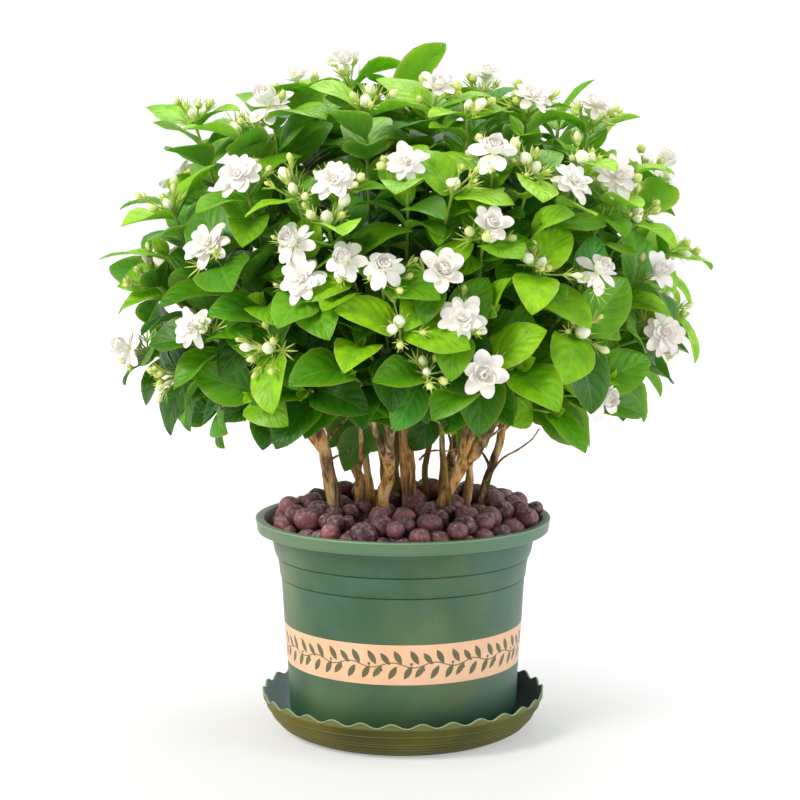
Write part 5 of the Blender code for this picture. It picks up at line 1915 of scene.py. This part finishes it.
# For each calyx: its seed, its mouth's radius, and how far its teeth spread and reach.
BUD_CALYX, FLOWER_CALYX, BARE_CALYX = range(3)
CALYX_FORMS = ((1, 0.26, 0.46, 0.74), (2, 0.20, 0.42, 0.62), (3, 0.20, 0.60, 0.80))


def bud_form(seed):
    """A bud one unit long, with the edges of its wrapped petals raised in a spiral."""
    slim, profile = BUD_FORMS[seed]
    long = 1.0 if profile == ROUND_BUD else 1.35
    rings = []
    for t, share in profile:
        ring = []
        for k in range(12):
            angle = 2 * math.pi * k / 12
            ridge = ((angle * 5 / (2 * math.pi) + 1.5 * t + seed * 0.3) % 1.0) ** 2
            radius = 0.39 * slim * share * (1 + 0.10 * (ridge - 0.35) * min(1, 3 * t))
            ring.append(Vector((radius * math.sin(angle), t * long, radius * math.cos(angle))))
        rings.append(ring)
    return sleeve(rings)


def tooth(turn, path, width):
    """One narrow pointed tooth along a path of (out, along) points."""
    out, across = out_and_across(turn)
    rings = []
    for k, (reach, along) in enumerate(path):
        point = out * reach + Vector((0, along, 0))
        half = width * (1 - (k / (len(path) - 1)) ** 2) + 0.012
        rings.append([point - across * half, point + out * half * 0.6, point + across * half])
    return sleeve(rings)


def calyx_form(seed, mouth, spread, long):
    """A cup with narrow teeth, about one unit long."""
    chance = random.Random(seed)
    turns = [2 * math.pi * k / 10 for k in range(10)]
    cup = [
        [Vector((r * math.sin(turn), y, r * math.cos(turn))) for turn in turns]
        for r, y in ((0.10, 0.0), (mouth * 0.70, 0.12), (mouth, 0.30), (mouth * 0.8, 0.34), (0.04, 0.20))
    ]
    parts = [sleeve(cup)]
    for k in range(TEETH):
        turn = 2 * math.pi * k / TEETH + chance.uniform(-0.12, 0.12)
        flare = spread * chance.uniform(0.6, 1.3)
        reach = long * chance.uniform(0.85, 1.15)
        path = [
            (mouth * 0.90, 0.27), (mouth * 1.05 + flare * 0.22, 0.27 + reach * 0.32),
            (mouth * 1.05 + flare * 0.60, 0.27 + reach * 0.68), (mouth * 1.0 + flare, 0.27 + reach),
        ]
        parts.append(tooth(turn, path, TOOTH_WIDTH))
    return joined(parts)


bud_finish = Finish(
    "bud", Specular_IOR_Level=0.42, Subsurface_Weight=0.3, Subsurface_Scale=0.003,
    Subsurface_Radius=(1.0, 0.95, 0.6),
)
across, along = bud_finish.across_and_along()
ripe = bud_finish.own("tone")
seam = (across * 2.5 + along * 1.5).maths("FRACT")
veil = bud_finish.grain(300, 3, 0.6)
bud_finish.colour = bud_finish.blend(ripe.rise(0.1, 0.8), (206, 214, 130), (248, 246, 226))
bud_finish.coat(along.rise(0.42, 0.0) * 0.65, (170, 196, 96))
bud_finish.coat(seam.rise(0.86, 0.99) * 0.35, (190, 196, 140))
bud_finish.coat(veil.rise(0.55, 0.8) * 0.2, (236, 220, 186))
bud_finish.done(0.42 + 0.15 * veil, seam.rise(0.99, 0.7), 0.0002)


def cyme(seed, base, axis, count, long):
    """More buds on stalks of this range of lengths, wherever there is room for one."""
    chance = random.Random(seed + 17)
    around = axes_along(axis)
    first = chance.uniform(0, 2 * math.pi)
    made = []
    for k in range(count):
        spread = chance.uniform(0.45, 1.0)
        side = round_about(around, first + GOLDEN_ANGLE * k)
        direction = tilted(axis, side, spread)
        bud = (base, axes_along(direction, axis), chance.uniform(*long), chance.uniform(0.0060, 0.0098))
        head = stitched(bud_rings(*bud, 0.0003))
        stem = tube([base + direction * 0.0035, base + direction * bud[2]], [0.0007] * 2, 3)
        if room.is_clear(head) and room.is_clear(stem, (("shoot", seed), ("flower", seed))):
            room.add(head, ("bud", seed))
            made.append(bud)
    return made


buds = [bud for flower in flowers for bud in flower.buds]
buds += [bud for shoot in shoots for bud in shoot.buds]
for shoot in shoots:
    if shoot.ends_in == "buds":
        buds += cyme(shoot.seed, shoot.tip - shoot.axis * 0.0055, shoot.axis, 7, (0.015, 0.024))
    elif shoot.ends_in == "flower":
        buds += cyme(shoot.seed, shoot.tip - shoot.axis * 0.0020, shoot.axis, 6, (0.013, 0.026))
bud_places = []
calyx_places = []
stalk_lines = []


def bare_calyces(start, axis, seed, chance):
    """Calyces that still stand where flowers have dropped, wherever there is room for one."""
    around = axes_along(axis)
    for _ in range(6):
        spread = chance.uniform(0.6, 1.3)
        side = round_about(around, chance.uniform(0, 6.3))
        aim = tilted(axis, side, spread).normalized()
        end = start + aim * chance.uniform(0.007, 0.016)
        space = tube([start + aim * 0.003, end + aim * 0.009], [0.0014, 0.0034], 5)
        if room.is_clear(space, (("shoot", seed),)):
            room.add(space, ("calyx", seed))
            turn = axes_along(aim).to_quaternion()
            calyx_places.append((end, turn, BARE_CALYX_LENGTH, BARE_CALYX, chance.random(), 0.5))
            stalk_lines.append([(start.lerp(end, k / 4), BARE_STALK_RADIUS, 0.1) for k in range(5)])


for base, basis, stalk, length in buds:
    chance = random.Random(round(1e6 * (base.x + 5 * base.z + length)))
    along_stalk = basis.col[1]
    foot = base + along_stalk * stalk
    turn = spun(basis, chance)
    ripeness = smooth_step(length, 0.0070, 0.0130) * chance.uniform(0.6, 1.3)
    form = chance.randrange(len(BUD_FORMS))
    swollen = length * chance.uniform(0.72, 1.0)
    bud_places.append((foot, turn, swollen, form, min(ripeness, 1), 0.5))
    cup = max(length, 0.0085)
    seat = foot - along_stalk * cup * 0.23
    calyx_places.append((seat, turn, cup * CUP_SHARE, BUD_CALYX, chance.random(), 0.5))
    path = bent(base, along_stalk, foot - along_stalk * cup * 0.16, along_stalk, 5)
    stalk_lines.append([(point, BUD_STALK_RADIUS, 0.12) for point in path])
for shoot in shoots:
    if shoot.ends_in != "buds":
        continue
    chance = random.Random(shoot.seed + 9)
    length = BUD_LENGTH * shoot.size
    turn = spun(axes_along(shoot.axis), chance)
    bud_places.append((shoot.tip, turn, length, chance.randrange(len(BUD_FORMS)), 0.75, 0.5))
    seat = shoot.tip - shoot.axis * length * 0.20
    calyx_places.append((seat, turn, length * CUP_SHARE, BUD_CALYX, 0.6, 0.5))
    bare_calyces(shoot.tip - shoot.axis * 0.005, shoot.axis, shoot.seed, chance)
for flower in flowers:
    chance = random.Random(flower.seed + 11)
    heading = (flower.centre - flower.foot).normalized()
    calyx = flower.foot.lerp(flower.centre, 0.34)
    turn = spun(axes_along(heading), chance)
    calyx_places.append((calyx, turn, FLOWER_CALYX_LENGTH, FLOWER_CALYX, 0.7, 0.5))
    points = [flower.foot.lerp(calyx, k / 4) - heading * 0.0006 * (k == 0) for k in range(5)]
    stalk_lines.append([(point, FLOWER_STALK_RADIUS, 0.15) for point in points])
    axis = flower.foot_basis.col[1]
    bare_calyces(flower.foot + axis * 0.0012, axis, flower.seed, chance)

bud_shapes = shape_set("bud", [bud_form(k) for k in range(len(BUD_FORMS))])
bud_piece = set_out("buds", bud_shapes, bud_places, bud_finish.material)
clear_set(bud_shapes)
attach(bud_piece, "root")

calyx_finish = Finish("calyx", Specular_IOR_Level=0.4, Subsurface_Weight=0.15, Subsurface_Scale=0.002)
fresh = calyx_finish.own("tone")
mottle = calyx_finish.grain(500, 3, 0.6)
calyx_finish.colour = calyx_finish.blend(fresh, (148, 182, 66), (206, 220, 116))
calyx_finish.coat(mottle.rise(0.5, 0.8) * 0.4, (130, 150, 58))
calyx_finish.done(0.5 + 0.2 * mottle, mottle, 0.0002)
calyx_shapes = shape_set("calyx", [calyx_form(*form) for form in CALYX_FORMS])
calyces = set_out("calyces", calyx_shapes, calyx_places, calyx_finish.material)
clear_set(calyx_shapes)
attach(calyces, "root")
stalks = run_limbs("stalks", stalk_lines, green_finish.material, 0.0015, 7)
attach(stalks, "root")


# The room: a pale floor that shades into a pale surround, soft light from both sides and
# above, and a camera a little below the top of the crown that looks slightly down.

CAMERA_PLACE = (-0.0023, -1.6, 0.46)
CAMERA_DOWN = 7.196
CAMERA_LENS = 93.6
FLOOR_HALF = 6.0

floor_finish = Finish("pale floor", Emission_Strength=1.0)
speckle = floor_finish.grain(6, 3)
east, north, _ = floor_finish.split(floor_finish.place())
far = (east ** 2.0 + north ** 2.0).rise(0.1, 5.0)
glow = floor_finish.blend(far, (0.36, 0.36, 0.36, 1.0), (0.80, 0.80, 0.80, 1.0))
floor_finish.feed(floor_finish.shader, {"Emission Color": glow})
floor_finish.colour = floor_finish.blend(speckle, (204, 204, 204), (208, 208, 208))
floor_finish.done(0.75 + 0.1 * speckle)
corners = [(x * FLOOR_HALF, y * FLOOR_HALF, 0) for x, y in ((-1, -1), (1, -1), (1, 1), (-1, 1))]
floor = add_piece("floor", corners, [(0, 1, 2, 3)], floor_finish.material)


def soft_light(name, place, aim, size, power, colour):
    """A square soft light at a place, turned to the aim."""
    light = bpy.data.lights.new(name, "AREA")
    light.shape = "SQUARE"
    light.size = size
    light.energy = power
    light.color = colour
    lamp = add_object(name, light)
    lamp.location = place
    lamp.rotation_euler = (Vector(aim) - Vector(place)).to_track_quat("-Z", "Y").to_euler()


soft_light("key", (-1.6, -1.3, 1.7), (0, 0, 0.25), 0.9, 50, (1.0, 0.97, 0.90))
soft_light("fill", (1.9, -0.7, 0.9), (0, 0, 0.25), 1.2, 15, (0.86, 0.95, 1.0))
soft_light("top", (0.2, 0.5, 1.9), (0, 0, 0.3), 1.2, 22, (1.0, 1.0, 0.98))

world = bpy.data.worlds.new("pale room")
world.use_nodes = True
sky = Nodes(world.node_tree)
direction = sky.node("ShaderNodeTexCoord").outputs["Generated"]
upwards = Level(sky, sky.node("ShaderNodeSeparateXYZ", (), {"Vector": direction}).outputs["Z"])
backdrop = world.node_tree.nodes["Background"]
sky.feed(backdrop, {"Color": (1.0, 1.0, 1.0, 1.0), "Strength": 1.02 - 0.57 * upwards.rise(0.08, 0.45)})
bpy.context.scene.world = world
bpy.context.scene.view_settings.view_transform = "Standard"

lens = bpy.data.cameras.new("camera")
lens.lens = CAMERA_LENS
lens.sensor_width = 36.0
camera = bpy.data.objects.new("camera", lens)
camera.location = CAMERA_PLACE
camera.rotation_euler = (math.radians(90 - CAMERA_DOWN), 0, 0)
bpy.context.scene.collection.objects.link(camera)
bpy.context.scene.camera = camera
